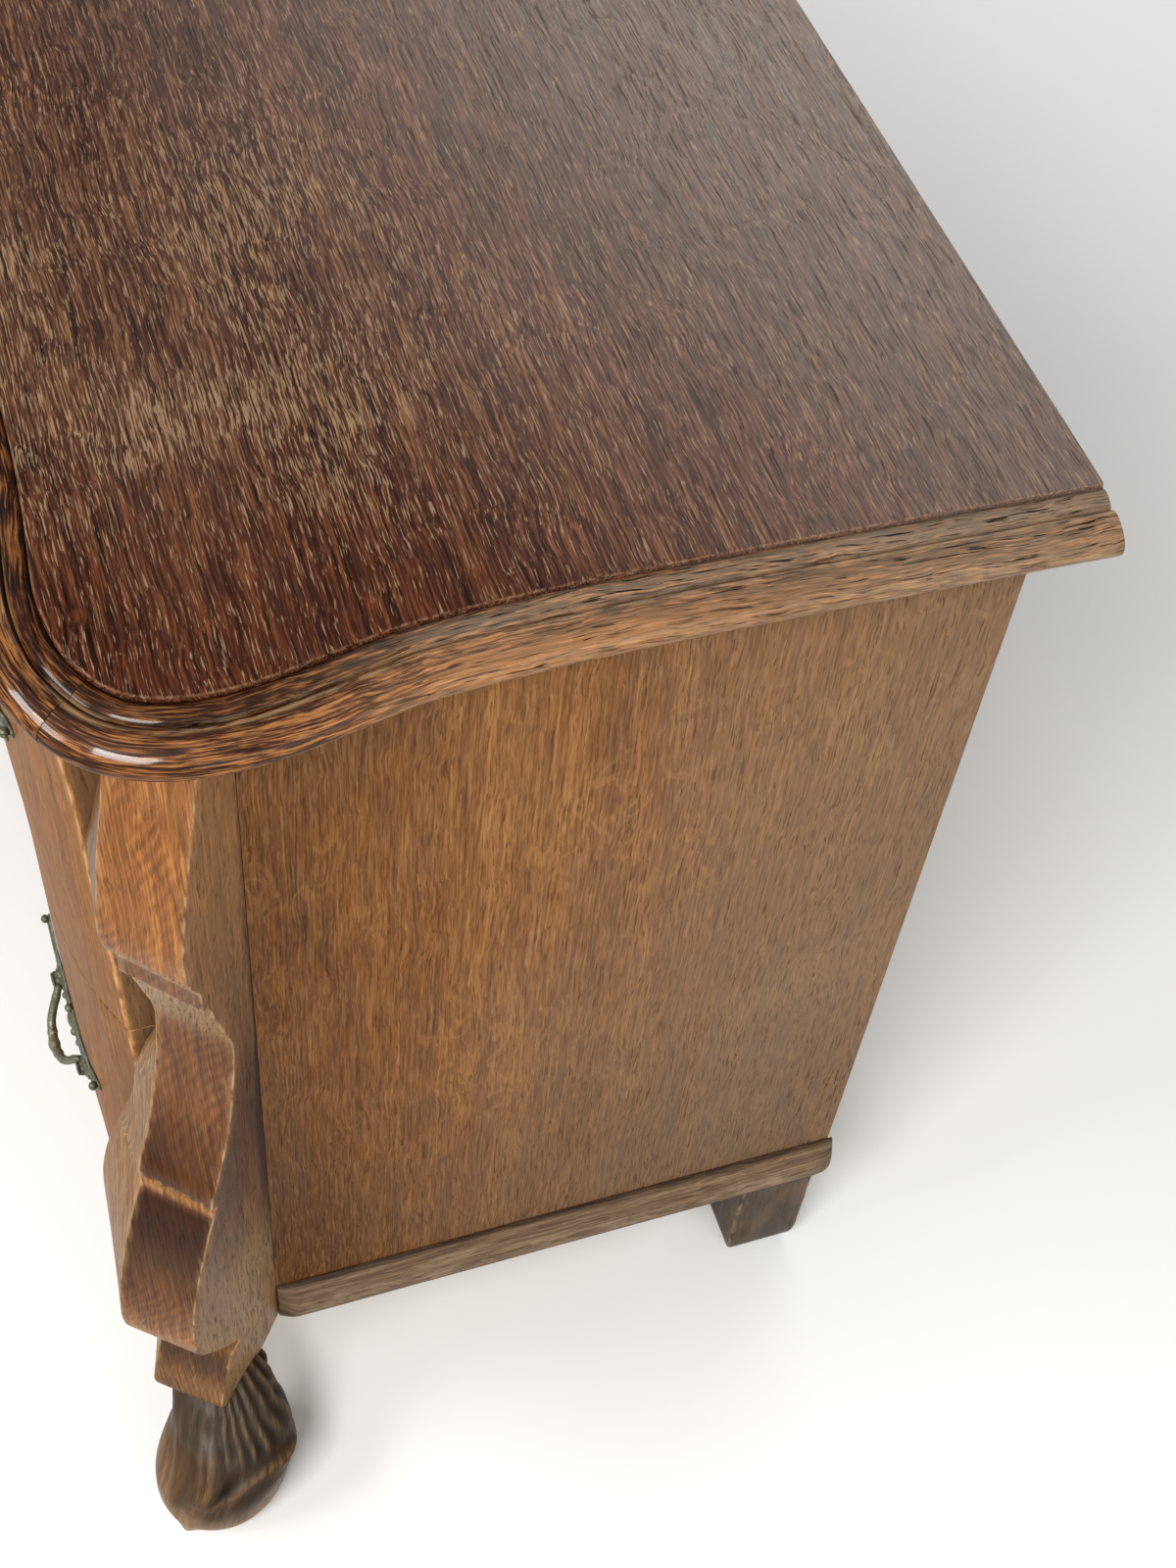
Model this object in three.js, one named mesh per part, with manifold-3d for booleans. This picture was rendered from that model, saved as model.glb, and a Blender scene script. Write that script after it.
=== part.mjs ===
import * as THREE from 'three';
import { mergeVertices } from 'three/addons/utils/BufferGeometryUtils.js';
import Module from 'manifold-3d';

// Bombe chest of drawers. Millimetres, +Z up, front towards -Y, floor at Z = 0.
// ---- driving constants -------------------------------------------------------
const HEIGHT = 800;            // floor to top surface
const CASE_W = 860;            // between the outer faces of the two side panels
const TOP_T = 25;              // thickness of the top
const Y_SHIFT = 258.26;          // puts the middle of the depth on Y = 0
const SIDE_T = 20;             // side panel thickness
const SIDE_FRONT = 102.9;      // depth station where the side panel meets the corner leg
const SIDE_BACK = 505;         // depth station of the case back
const TOP_BACK = 533;          // depth station of the top's back edge
const LEG_T = 50;              // thickness of the canted corner leg
const LEG_FOOT_Z = 85;         // underside of the corner leg
const WING_IN = 36;            // inner face of the corner leg, in from the side panel plane
const FRONT_IN = 37;           // end of the drawer fronts, in from the side panel plane
const BASE_Z0 = 103;           // underside of the base moulding
const BASE_Z1 = 148;           // upper edge of the base moulding
const LOWER_Z0 = 152, LOWER_Z1 = 451.2;   // lower drawer front
const UPPER_Z0 = 452.4, UPPER_Z1 = 758.5; // upper drawer front
const HANDLE_IN = 168;         // centre of a handle, in from the side panel plane
const HANDLE_Z = [263, 628];   // height of the bail pivots
const POST_HALF = 35.5;        // half the distance between handle posts
const GAP = 0.35;              // clearance between fitted pieces

const HALF = CASE_W / 2;
const S2 = Math.SQRT1_2;
const fy = (y) => y - Y_SHIFT; // depth station to model Y
const fx = (xin) => HALF - xin;

// ---- interpolation -----------------------------------------------------------
function table(knots) {
  const k = knots.slice().sort((a, b) => a[0] - b[0]);
  const n = k.length;
  const d = [];
  for (let i = 0; i < n - 1; i++) d.push((k[i + 1][1] - k[i][1]) / (k[i + 1][0] - k[i][0]));
  const m = k.map((_, i) => {
    if (i === 0) return d[0];
    if (i === n - 1) return d[n - 2];
    if (d[i - 1] * d[i] <= 0) return 0;
    return 2 * d[i - 1] * d[i] / (d[i - 1] + d[i]);
  });
  return (x) => {
    if (x <= k[0][0]) return k[0][1];
    if (x >= k[n - 1][0]) return k[n - 1][1];
    let i = 0;
    while (x > k[i + 1][0]) i++;
    const h = k[i + 1][0] - k[i][0];
    const t = (x - k[i][0]) / h;
    const t2 = t * t, t3 = t2 * t;
    return (2 * t3 - 3 * t2 + 1) * k[i][1] + (t3 - 2 * t2 + t) * h * m[i]
      + (-2 * t3 + 3 * t2) * k[i + 1][1] + (t3 - t2) * h * m[i + 1];
  };
}

// ---- solid builders ----------------------------------------------------------
function soup(tris) {
  const a = new Float32Array(tris.length * 9);
  let o = 0;
  for (const t of tris) for (const p of t) { a[o++] = p[0]; a[o++] = p[1]; a[o++] = p[2]; }
  const g = new THREE.BufferGeometry();
  g.setAttribute('position', new THREE.BufferAttribute(a, 3));
  const w = mergeVertices(g, 1e-4);
  w.computeVertexNormals();
  return w;
}
function signedVolume(tris) {
  let v = 0;
  for (const [a, b, c] of tris) {
    v += a[0] * (b[1] * c[2] - b[2] * c[1]) - a[1] * (b[0] * c[2] - b[2] * c[0]) + a[2] * (b[0] * c[1] - b[1] * c[0]);
  }
  return v / 6;
}
function closed(tris) {
  const ok = tris.filter(([a, b, c]) => {
    const u = [b[0] - a[0], b[1] - a[1], b[2] - a[2]], v = [c[0] - a[0], c[1] - a[1], c[2] - a[2]];
    const n = [u[1] * v[2] - u[2] * v[1], u[2] * v[0] - u[0] * v[2], u[0] * v[1] - u[1] * v[0]];
    return Math.hypot(n[0], n[1], n[2]) > 1e-7;
  });
  return signedVolume(ok) < 0 ? ok.map(([a, b, c]) => [a, c, b]) : ok;
}
// rings: arrays of [x, y, z] with equal counts; capPlane: the two axes in which the caps are flat
function loft(rings, capAxes = [0, 1]) {
  const tris = [];
  const n = rings[0].length;
  for (let r = 0; r < rings.length - 1; r++) {
    for (let i = 0; i < n; i++) {
      const j = (i + 1) % n;
      const a = rings[r][i], b = rings[r][j], c = rings[r + 1][j], d = rings[r + 1][i];
      tris.push([a, b, c], [a, c, d]);
    }
  }
  const cap = (ring, flip) => {
    const pts = ring.map((p) => new THREE.Vector2(p[capAxes[0]], p[capAxes[1]]));
    const rev = THREE.ShapeUtils.isClockWise(pts);
    const order = ring.map((_, i) => i);
    const use = rev ? pts.slice().reverse() : pts;
    const idx = rev ? order.slice().reverse() : order;
    const faces = THREE.ShapeUtils.triangulateShape(use, []);
    for (const f of faces) {
      const t = [ring[idx[f[0]]], ring[idx[f[1]]], ring[idx[f[2]]]];
      const ccw = !rev;
      const keep = ccw ? !flip : flip;
      tris.push(keep ? t : [t[0], t[2], t[1]]);
    }
  };
  // the side quads above run with the ring order; the first cap faces away from them
  cap(rings[0], true);
  cap(rings[rings.length - 1], false);
  return closed(orient(tris));
}
// makes the winding of one closed surface consistent
function orient(tris) {
  const key = (p) => `${Math.round(p[0] * 1e3)},${Math.round(p[1] * 1e3)},${Math.round(p[2] * 1e3)}`;
  const good = tris.filter((t) => {
    const k = t.map(key);
    return k[0] !== k[1] && k[1] !== k[2] && k[2] !== k[0];
  });
  const edges = new Map();
  good.forEach((t, i) => {
    for (let e = 0; e < 3; e++) {
      const a = key(t[e]), b = key(t[(e + 1) % 3]);
      const k = a < b ? `${a}|${b}` : `${b}|${a}`;
      if (!edges.has(k)) edges.set(k, []);
      edges.get(k).push([i, a < b ? 1 : -1]);
    }
  });
  const flip = new Array(good.length).fill(0);
  const nb = good.map(() => []);
  for (const list of edges.values()) {
    if (list.length === 2) {
      const [[i, s], [j, t]] = list;
      nb[i].push([j, s === t ? -1 : 1]);
      nb[j].push([i, s === t ? -1 : 1]);
    }
  }
  for (let s = 0; s < good.length; s++) {
    if (flip[s]) continue;
    flip[s] = 1;
    const stack = [s];
    while (stack.length) {
      const i = stack.pop();
      for (const [j, rel] of nb[i]) if (!flip[j]) { flip[j] = flip[i] * rel; stack.push(j); }
    }
  }
  return good.map((t, i) => (flip[i] === 1 ? t : [t[0], t[2], t[1]]));
}
function box(x0, x1, y0, y1, z0, z1) {
  const r = (z) => [[x0, y0, z], [x1, y0, z], [x1, y1, z], [x0, y1, z]];
  return loft([r(z0), r(z1)]);
}
// polygon of [x, y] pairs, extruded in Z
function prismZ(poly, z0, z1) {
  return loft([poly.map(([x, y]) => [x, y, z0]), poly.map(([x, y]) => [x, y, z1])]);
}
// polygon of [x, z] pairs, extruded in Y
function prismY(poly, y0, y1) {
  return loft([poly.map(([x, z]) => [x, y0, z]), poly.map(([x, z]) => [x, y1, z])], [0, 2]);
}
// a curved slab: front face Y = yf(x, z), back face Y = yb(x, z), edges at zl(x) and zh(x)
function slab(xs, nz, zl, zh, yf, yb) {
  const nx = xs.length;
  const F = [], B = [];
  for (let i = 0; i < nx; i++) {
    F.push([]); B.push([]);
    for (let j = 0; j <= nz; j++) {
      const z = zl(xs[i]) + (zh(xs[i]) - zl(xs[i])) * j / nz;
      F[i].push([xs[i], yf(xs[i], z), z]);
      B[i].push([xs[i], yb(xs[i], z), z]);
    }
  }
  const t = [];
  const quad = (a, b, c, d) => t.push([a, b, c], [a, c, d]);
  for (let i = 0; i < nx - 1; i++) for (let j = 0; j < nz; j++) {
    quad(F[i][j], F[i + 1][j], F[i + 1][j + 1], F[i][j + 1]);
    quad(B[i][j], B[i][j + 1], B[i + 1][j + 1], B[i + 1][j]);
  }
  for (let i = 0; i < nx - 1; i++) {
    quad(F[i][0], B[i][0], B[i + 1][0], F[i + 1][0]);
    quad(F[i][nz], F[i + 1][nz], B[i + 1][nz], B[i][nz]);
  }
  for (let j = 0; j < nz; j++) {
    quad(F[0][j], F[0][j + 1], B[0][j + 1], B[0][j]);
    quad(F[nx - 1][j], B[nx - 1][j], B[nx - 1][j + 1], F[nx - 1][j + 1]);
  }
  return closed(orient(t));
}
// a rod of radius r along a list of points, with sides segments, flat ends
function rod(path, radius, sides = 8) {
  const P = path.map((p) => new THREE.Vector3(...p));
  const rings = [];
  let ref = new THREE.Vector3(0, 0, 1);
  const t0 = P[1].clone().sub(P[0]).normalize();
  if (Math.abs(t0.dot(ref)) > 0.9) ref = new THREE.Vector3(0, 1, 0);
  let nrm = ref.clone().sub(t0.clone().multiplyScalar(ref.dot(t0))).normalize();
  for (let i = 0; i < P.length; i++) {
    const a = P[Math.max(0, i - 1)], b = P[Math.min(P.length - 1, i + 1)];
    const t = b.clone().sub(a).normalize();
    nrm = nrm.clone().sub(t.clone().multiplyScalar(nrm.dot(t))).normalize();
    const bin = new THREE.Vector3().crossVectors(t, nrm);
    const r = typeof radius === 'function' ? radius(i / (P.length - 1)) : radius;
    const ring = [];
    for (let s = 0; s < sides; s++) {
      const q = (s + 0.5) / sides * Math.PI * 2;
      const v = P[i].clone().addScaledVector(nrm, Math.cos(q) * r).addScaledVector(bin, Math.sin(q) * r);
      ring.push([v.x, v.y, v.z]);
    }
    rings.push(ring);
  }
  const tris = [];
  const n = sides;
  for (let r = 0; r < rings.length - 1; r++) for (let i = 0; i < n; i++) {
    const j = (i + 1) % n;
    tris.push([rings[r][i], rings[r][j], rings[r + 1][j]], [rings[r][i], rings[r + 1][j], rings[r + 1][i]]);
  }
  const e = rings.length - 1;
  for (let i = 1; i < n - 1; i++) {
    tris.push([rings[0][0], rings[0][i], rings[0][i + 1]]);
    tris.push([rings[e][0], rings[e][i], rings[e][i + 1]]);
  }
  return closed(orient(tris));
}
const mirrorX = (tris) => tris.map(([a, b, c]) => [[-a[0], a[1], a[2]], [-c[0], c[1], c[2]], [-b[0], b[1], b[2]]]);
const move = (tris, dx, dy, dz) => tris.map((t) => t.map((p) => [p[0] + dx, p[1] + dy, p[2] + dz]));
const spin = (tris, a) => tris.map((t) => t.map(([x, y, z]) => [x * Math.cos(a) - y * Math.sin(a), x * Math.sin(a) + y * Math.cos(a), z]));

const wasm = await Module();
wasm.setup();
function solid(tris) {
  const g = soup(tris);
  return new wasm.Manifold(new wasm.Mesh({
    numProp: 3,
    vertProperties: new Float32Array(g.attributes.position.array),
    triVerts: new Uint32Array(g.index.array),
  }));
}
function unsolid(m) {
  const mesh = m.getMesh();
  const p = mesh.vertProperties, f = mesh.triVerts, t = [];
  const at = (i) => [p[i * mesh.numProp], p[i * mesh.numProp + 1], p[i * mesh.numProp + 2]];
  for (let i = 0; i < f.length; i += 3) t.push([at(f[i]), at(f[i + 1]), at(f[i + 2])]);
  return t;
}

// ---- materials ---------------------------------------------------------------
const MAT = {
  oak_top: new THREE.MeshStandardMaterial({ color: 0x5a3d2b, roughness: 0.45 }),
  oak_edge: new THREE.MeshStandardMaterial({ color: 0x5e3c26, roughness: 0.35 }),
  oak_side: new THREE.MeshStandardMaterial({ color: 0x8a6747, roughness: 0.55 }),
  oak_leg: new THREE.MeshStandardMaterial({ color: 0x8f6339, roughness: 0.5 }),
  oak_foot: new THREE.MeshStandardMaterial({ color: 0x5d4733, roughness: 0.5 }),
  oak_front: new THREE.MeshStandardMaterial({ color: 0xa27a54, roughness: 0.5 }),
  oak_inner: new THREE.MeshStandardMaterial({ color: 0xb18d5f, roughness: 0.75 }),
  brass: new THREE.MeshStandardMaterial({ color: 0x6b6a4f, roughness: 0.5, metalness: 0.8 }),
  steel: new THREE.MeshStandardMaterial({ color: 0x6d6c69, roughness: 0.45, metalness: 0.9 }),
};
const group = new THREE.Group();
group.name = 'bombe_chest_of_drawers';
function add(name, slot, tris) {
  const mesh = new THREE.Mesh(soup(tris), MAT[slot]);
  MAT[slot].name = slot;
  mesh.name = name;
  group.add(mesh);
}

// ---- serpentine front surface ------------------------------------------------
// B: depth station of the drawer fronts' ends by height; A: how far the front swells by distance in
const frontB = table([[92, 46], [150, 44.4], [204, 42], [259, 40.4], [300, 40], [350, 39.8], [414, 38.6], [467, 37],
  [523, 35.2], [592, 32], [636, 31], [676, 29.4], [716, 26], [765, 23]]);
const frontS = table([[92, 1], [590, 1], [640, 0.97], [676, 0.88], [716, 0.78], [765, 0.66]]);
const frontA = table([[37, 0], [50, -6], [70, -14], [90, -19.5], [110, -23], [140, -26], [180, -27.6], [240, -28.5],
  [330, -29], [430, -29.2]]);
const frontY = (x, z) => frontB(z) + frontS(z) * frontA(HALF - Math.abs(x));
const frontBack = (x) => 62 + 0.8 * frontA(HALF - Math.abs(x));

function stations(x0, x1) {
  const a = [];
  const ins = [37, 44, 52, 62, 74, 88, 104, 124, 150, 190, 250, 330];
  for (const i of ins) if (i > HALF - Math.abs(x1) + 1 || i === 37) a.push(HALF - i);
  const right = a.filter((v) => v < x1 - 1);
  right.unshift(x1);
  return [...right.map((v) => -v), ...(Math.abs(x0) > 0 ? [0] : []), ...right.slice().reverse()];
}

// ---- top ---------------------------------------------------------------------
// field outline: [distance in from the side plane, depth station]
const fieldKnots = [[1.5, 533], [2.6, 470], [3.6, 400], [4.2, 330], [4.1, 280], [3, 240], [0.8, 203], [-1.6, 180], [-5.9, 160],
  [-10.6, 140], [-15, 119], [-17.2, 102], [-17.2, 86], [-14.6, 70], [-10, 58.5], [-2, 48.6], [10, 40.6], [24, 34.6],
  [42, 30.9], [60, 29.7], [80, 30.9], [100, 32.7], [125, 34.4], [160, 35.4], [205, 34.6], [260, 31.4], [320, 27],
  [380, 23.6], [430, 22.6]];
const fieldCurve = new THREE.CatmullRomCurve3(
  fieldKnots.map(([a, b]) => new THREE.Vector3(fx(a), fy(b), 0)), false, 'centripetal');
function fieldPoint(u) {
  const p = fieldCurve.getPoint(u);
  const t = fieldCurve.getTangent(u);
  return { p, n: new THREE.Vector2(-t.y, t.x).normalize() };
}
const mouldProfile = [[0.3, 797.4], [3.6, 797.9], [7.6, 796.9], [10.8, 794.6], [11.8, 792.8], [12.8, 794.6], [17.5, 795.5],
  [23.5, 793.4], [28.6, 789.6], [31.0, 785.6], [30.7, 782], [28.8, 778.8], [25.5, 776.4], [21, 775.5], [0.3, 775.5]];
function mouldRing(u, mirror, endNormal) {
  const { p, n } = fieldPoint(u);
  const nn = endNormal || n;
  return mouldProfile.map(([o, z]) => [(mirror ? -1 : 1) * (p.x + nn.x * o), p.y + nn.y * o, z]);
}
const K = fieldKnots.length - 1;
const U_MITRE = 15.6 / K;
{
  const sideU = [0, 2, 4, 5, 6, 7, 8, 9, 10, 10.5, 11, 11.5, 12, 12.5, 13, 13.5, 14, 14.5, 15].map((v) => v / K);
  sideU.push(U_MITRE - 0.0004);
  const frontU = [U_MITRE + 0.0004, ...[16, 16.5, 17, 17.5, 18, 19, 20, 21, 22, 23, 24, 25, 26, 27].map((v) => v / K), 1];
  const field = [...sideU.slice(0, -1), U_MITRE, ...frontU.slice(1)].map((u) => fieldPoint(u).p);
  const right = field.map((p) => [p.x, p.y]);
  const left = right.slice(0, -1).reverse().map(([x, y]) => [-x, y]);
  add('top_panel', 'oak_top', prismZ([...right, ...left], HEIGHT - TOP_T, HEIGHT));
  const square = new THREE.Vector2(1, 0);
  const side = sideU.map((u, i) => mouldRing(u, false, i === 0 ? square : null));
  add('top_edge_right', 'oak_edge', loftAny(side));
  add('top_edge_left', 'oak_edge', mirrorX(loftAny(side)));
  const fr = frontU.map((u, i) => mouldRing(u, false, i === frontU.length - 1 ? new THREE.Vector2(0, -1) : null));
  const fl = frontU.slice(0, -1).map((u) => mouldRing(u, true)).reverse();
  add('top_edge_front', 'oak_edge', loftAny([...fr, ...fl]));
}
// loft whose end rings lie in any plane: ends closed by triangulating the profile itself
function loftAny(rings) {
  const tris = [];
  const n = rings[0].length;
  for (let r = 0; r < rings.length - 1; r++) for (let i = 0; i < n; i++) {
    const j = (i + 1) % n;
    tris.push([rings[r][i], rings[r][j], rings[r + 1][j]], [rings[r][i], rings[r + 1][j], rings[r + 1][i]]);
  }
  const flat = mouldProfile.map(([o, z]) => new THREE.Vector2(o, z));
  const rev = THREE.ShapeUtils.isClockWise(flat);
  const idx = flat.map((_, i) => i);
  const faces = THREE.ShapeUtils.triangulateShape(rev ? flat.slice().reverse() : flat, []);
  const map = rev ? idx.slice().reverse() : idx;
  for (const ring of [rings[0], rings[rings.length - 1]]) {
    for (const f of faces) tris.push([ring[map[f[0]]], ring[map[f[1]]], ring[map[f[2]]]]);
  }
  return closed(orient(tris));
}

// ---- corner legs -------------------------------------------------------------
// u: how far the scrolled face stands out from the seam, along the corner's diagonal, by height
const scroll = [[774.6, 25.5], [749, 29], [732, 32.4], [713, 36.4], [696, 41], [671, 47], [644, 52], [622, 55], [609, 54.4],
  [599, 51.5], [589, 46.8], [580, 43.4], [560.5, 41.4], [559, 38.4], [545, 34.4], [520, 27.2], [502, 22.4], [490, 21.2],
  [477, 22.4], [450, 26.4], [432, 30], [405, 38.4], [388, 46], [379, 50], [373, 54.2], [364, 56], [361, 55.4], [359.6, 52.2],
  [340, 61], [325, 68], [311, 74], [297, 79], [283, 83], [266, 86.5], [249, 88.5], [235, 89.2], [221, 87.6], [208, 83.4],
  [197, 77], [186, 70], [172, 60.5], [163, 53.5], [155, 47], [150.4, 45.4], [149.2, 52.5], [135, 60.4], [118, 65.5], [104, 69.8], [95, 71.6], [85, 70]];
const wingY = table([[775, 57], [730, 52], [696, 45.5], [662, 37.5], [638, 32.6], [614, 32.2], [598, 32.8], [580, 36], [560, 42],
  [530, 49], [490, 54], [454, 52.6], [440, 46.5], [414, 38.2], [389, 34.4], [371, 28.2], [354, 21.5], [335, 15.1],
  [316, 10.9], [298, 8.5], [281, 7.6], [264, 7.2], [240, 8], [216, 9], [178, 10.4], [168, 14], [157, 24], [150, 28], [85, 30]]);
const leftGrow = table([[85, 6], [150, 5], [240, 4.5], [330, 3], [375, 0], [800, 0]]);
function legRing([z, u]) {
  const s = [0, SIDE_FRONT - 0.3];
  const ul = u + leftGrow(z);
  const pts = [
    [s[0] - 0, s[1]],
    [s[0] - u * S2, s[1] - u * S2],
    [s[0] + LEG_T * S2 - ul * S2, s[1] - LEG_T * S2 - ul * S2],
    [WING_IN, wingY(z)],
    [WING_IN, s[1]],
  ];
  return pts.map(([a, b]) => [fx(a), fy(b), z]);
}
const legTris = loft(scroll.map(legRing));
add('leg_front_right', 'oak_leg', legTris);
add('leg_front_left', 'oak_leg', mirrorX(legTris));

// ---- carved front feet: a ribbed neck swelling into a rounded hoof --------------
// rows: [z, centre along the diagonal, half width along it, half width across, flute depth, centre's offset to the front]
const footRows = [[0, 78, 38, 35, 0, -3.5], [4, 79, 44, 39.8, 0, -2.2], [12, 80, 48.5, 43.3, 0, -1.2], [22, 80.5, 50.5, 44.4, 0.6, -1.8],
  [33, 80, 50, 45, 1.2, -2.4], [44, 77.5, 48, 45.3, 1.6, -3.7], [54, 73, 44, 45, 1.8, -4.5], [63, 67, 40, 41, 1.8, -2],
  [72, 60, 36, 38.8, 1.6, 4.2], [79, 55, 32, 36.2, 1.2, 10.1], [84.6, 48.5, 31.5, 33, 0.8, 12.8]];
const toeLength = table([[0, 6.5], [4, 7], [12, 3.8], [22, 1.2], [33, 0], [85, 0]]);   // the pointed toe, along the diagonal
const FOOT_N = 28;
function footRing([z, c, ru, rv, fl, vo]) {
  const ring = [];
  for (let i = 0; i < FOOT_N; i++) {
    const q = i / FOOT_N * Math.PI * 2;
    const k = i % 2 ? 1 : 1 - fl / ru;
    const off = Math.min(i, FOOT_N - i) * 360 / FOOT_N / 10;
    const u = c + Math.cos(q) * ru * k + toeLength(z) * Math.exp(-off * off), v = -vo + Math.sin(q) * rv * k;
    ring.push([fx(-u * S2 - v * S2), fy(SIDE_FRONT - u * S2 + v * S2), z]);
  }
  return ring;
}
const footTris = loft(footRows.map(footRing));
add('foot_front_right', 'oak_foot', footTris);
add('foot_front_left', 'oak_foot', mirrorX(footTris));

// ---- case --------------------------------------------------------------------
const sideTris = box(fx(SIDE_T), fx(0), fy(SIDE_FRONT), fy(SIDE_BACK), BASE_Z0, HEIGHT - TOP_T - GAP);
add('side_panel_right', 'oak_side', sideTris);
add('side_panel_left', 'oak_side', mirrorX(sideTris));
// base moulding: fillet below, half round above
const baseProfile = [[-GAP, BASE_Z0], [-5.6, BASE_Z0], [-6.4, BASE_Z0 + 1], [-6.4, 114.5], [-8.6, 116], [-12.2, 119], [-13.8, 124.5],
  [-13.2, 130.5], [-10.8, 136.5], [-7, 142.4], [-3.4, 146.6], [-GAP, BASE_Z1]];
const baseTris = (() => {
  const r = (y) => baseProfile.map(([a, z]) => [fx(a), fy(y), z]);
  return loft([r(SIDE_FRONT + 0.6), r(SIDE_BACK + 3)], [0, 2]);
})();
add('base_moulding_right', 'oak_side', baseTris);
add('base_moulding_left', 'oak_side', mirrorX(baseTris));
// rear corner posts, inside the side panels
const postTris = box(fx(52), fx(SIDE_T + GAP), fy(460), fy(495), BASE_Z0, HEIGHT - TOP_T - GAP);
add('rear_post_right', 'oak_inner', postTris);
add('rear_post_left', 'oak_inner', mirrorX(postTris));
// rear feet: plain blocks with eased lower edges
const rearFootTris = (() => {
  const r = (z, e) => [[fx(54 - e), fy(444 + e)], [fx(-6 + e), fy(444 + e)], [fx(-6 + e), fy(499 - e)], [fx(54 - e), fy(499 - e)]]
    .map(([x, y]) => [x, y, z]);
  return loft([r(0, 9), r(4, 4), r(12, 1), r(24, 0), r(BASE_Z0 - GAP, 0)]);
})();
add('foot_rear_right', 'oak_foot', rearFootTris);
add('foot_rear_left', 'oak_foot', mirrorX(rearFootTris));
add('back_panel', 'oak_inner', box(-fx(SIDE_T + GAP), fx(SIDE_T + GAP), fy(495.4), fy(SIDE_BACK - 4), BASE_Z0, HEIGHT - TOP_T - GAP));
add('bottom_board', 'oak_inner', prismZ([[-fx(SIDE_T + GAP), fy(SIDE_FRONT + 1)], [fx(SIDE_T + GAP), fy(SIDE_FRONT + 1)],
  [fx(SIDE_T + GAP), fy(459)], [-fx(SIDE_T + GAP), fy(459)]], 116, 126));
// rails between the legs: the front edges follow the serpentine, with a mortise for each lock's bolt
function rail(front, z0, z1, mz) {
  const xs = [36.4, 44, 52, 62, 74, 88, 104, 124, 150, 190, 250, 330].map(fx);
  const all = [...xs.map((v) => -v), 0, ...xs.slice().reverse()];
  const poly = [...all.map((x) => [x, fy(front(x))]), [fx(36.4), fy(SIDE_FRONT - 1)], [-fx(36.4), fy(SIDE_FRONT - 1)]];
  const m = solid(prismZ(poly, z0, z1));
  const yl = frontBack(0) + 1.2;
  return unsolid(m.subtract(solid(box(-13, 13, fy(yl + 2.7), fy(yl + 8.8), z0 - 4, mz))));
}
add('top_rail_front', 'oak_front', rail((x) => frontY(x, 765) + 2.5, 760, HEIGHT - TOP_T - GAP, 767));
add('middle_rail', 'oak_inner', rail((x) => frontBack(x) + 1, 444, 460, 450));
add('dust_board', 'oak_inner', box(-fx(57), fx(57), fy(SIDE_FRONT + 1), fy(459), 448, 454));
// shaped apron under the lower drawer
{
  const drop = table([[36, 96], [60, 97], [90, 104], [130, 121], [190, 127], [250, 122], [310, 109], [360, 99], [400, 95], [430, 94]]);
  const xs = [36.4, 44, 52, 62, 74, 88, 104, 124, 150, 175, 200, 225, 250, 280, 310, 345, 385].map(fx);
  const all = [...xs.map((v) => -v), 0, ...xs.slice().reverse()];
  add('apron_front', 'oak_front', slab(all, 2, (x) => drop(HALF - Math.abs(x)), () => 150.8,
    (x, z) => fy(frontY(x, z)), (x) => fy(frontBack(x))));
}
// runners with guides, L-shaped in section
function runner(zTop) {
  const p = [[fx(58), zTop - 15.4], [fx(SIDE_T + GAP), zTop - 15.4], [fx(SIDE_T + GAP), zTop + 20], [fx(41), zTop + 20], [fx(41), zTop], [fx(58), zTop]];
  return prismY(p, fy(SIDE_FRONT + 1), fy(459));
}
for (const [nm, z] of [['lower', 155.4], ['upper', 461.4]]) {
  let t = runner(z);
  if (nm === 'upper') {
    const p = [[fx(56.6), z - 15.4], [fx(SIDE_T + GAP), z - 15.4], [fx(SIDE_T + GAP), z + 20], [fx(41), z + 20], [fx(41), z], [fx(56.6), z]];
    t = prismY(p, fy(SIDE_FRONT + 1), fy(459));
  }
  add(`runner_${nm}_right`, 'oak_inner', t);
  add(`runner_${nm}_left`, 'oak_inner', mirrorX(t));
}

// ---- handles -----------------------------------------------------------------
// outline of a back plate: [x, z] on its right half, from the top middle round to the bottom middle
const plateHalf = [[0, 17], [4, 20.5], [8, 18], [13, 13.5], [19, 12.5], [25, 16], [31, 20], [37, 20], [42, 17], [46, 18.5], [52, 23],
  [58, 27.5], [64, 29.5], [69, 28], [70, 24.5], [66, 22.5], [60, 20.5], [54, 15], [49, 9], [46, 3], [47, -5], [43, -10], [36, -12.5],
  [29, -10], [24, -4.5], [17, -4], [10, -9], [5, -14], [0, -16]];
const plateOutline = [...plateHalf, ...plateHalf.slice(1, -1).reverse().map(([x, z]) => [-x, z])];
const PLATE_T = 1.6, POST_OUT = 7.6, PIVOT_OUT = 4.3, POST_R = 4.4, HOLE_R = 1.9, PIN_R = 1.4;
function plateLocal() {
  // local frame: x along the drawer, y outwards is negative, back of plate at y = 0
  let m = solid(prismY(plateOutline, -PLATE_T, 0));
  for (const s of [-1, 1]) {
    const post = rod([[s * POST_HALF, -0.6, 0], [s * POST_HALF, -1.9, 0], [s * POST_HALF, -2.2, 0], [s * POST_HALF, -POST_OUT + 1.2, 0], [s * POST_HALF, -POST_OUT, 0]],
      (t) => (t < 0.1 ? 7.5 : t < 0.3 ? 7.0 : t > 0.9 ? 2.8 : POST_R), 12);
    m = m.add(solid(post));
    const hole = rod([[s * POST_HALF - 8, -PIVOT_OUT, 0], [s * POST_HALF + 8, -PIVOT_OUT, 0]], HOLE_R, 10);
    m = m.subtract(solid(hole));
  }
  return unsolid(m);
}
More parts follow.
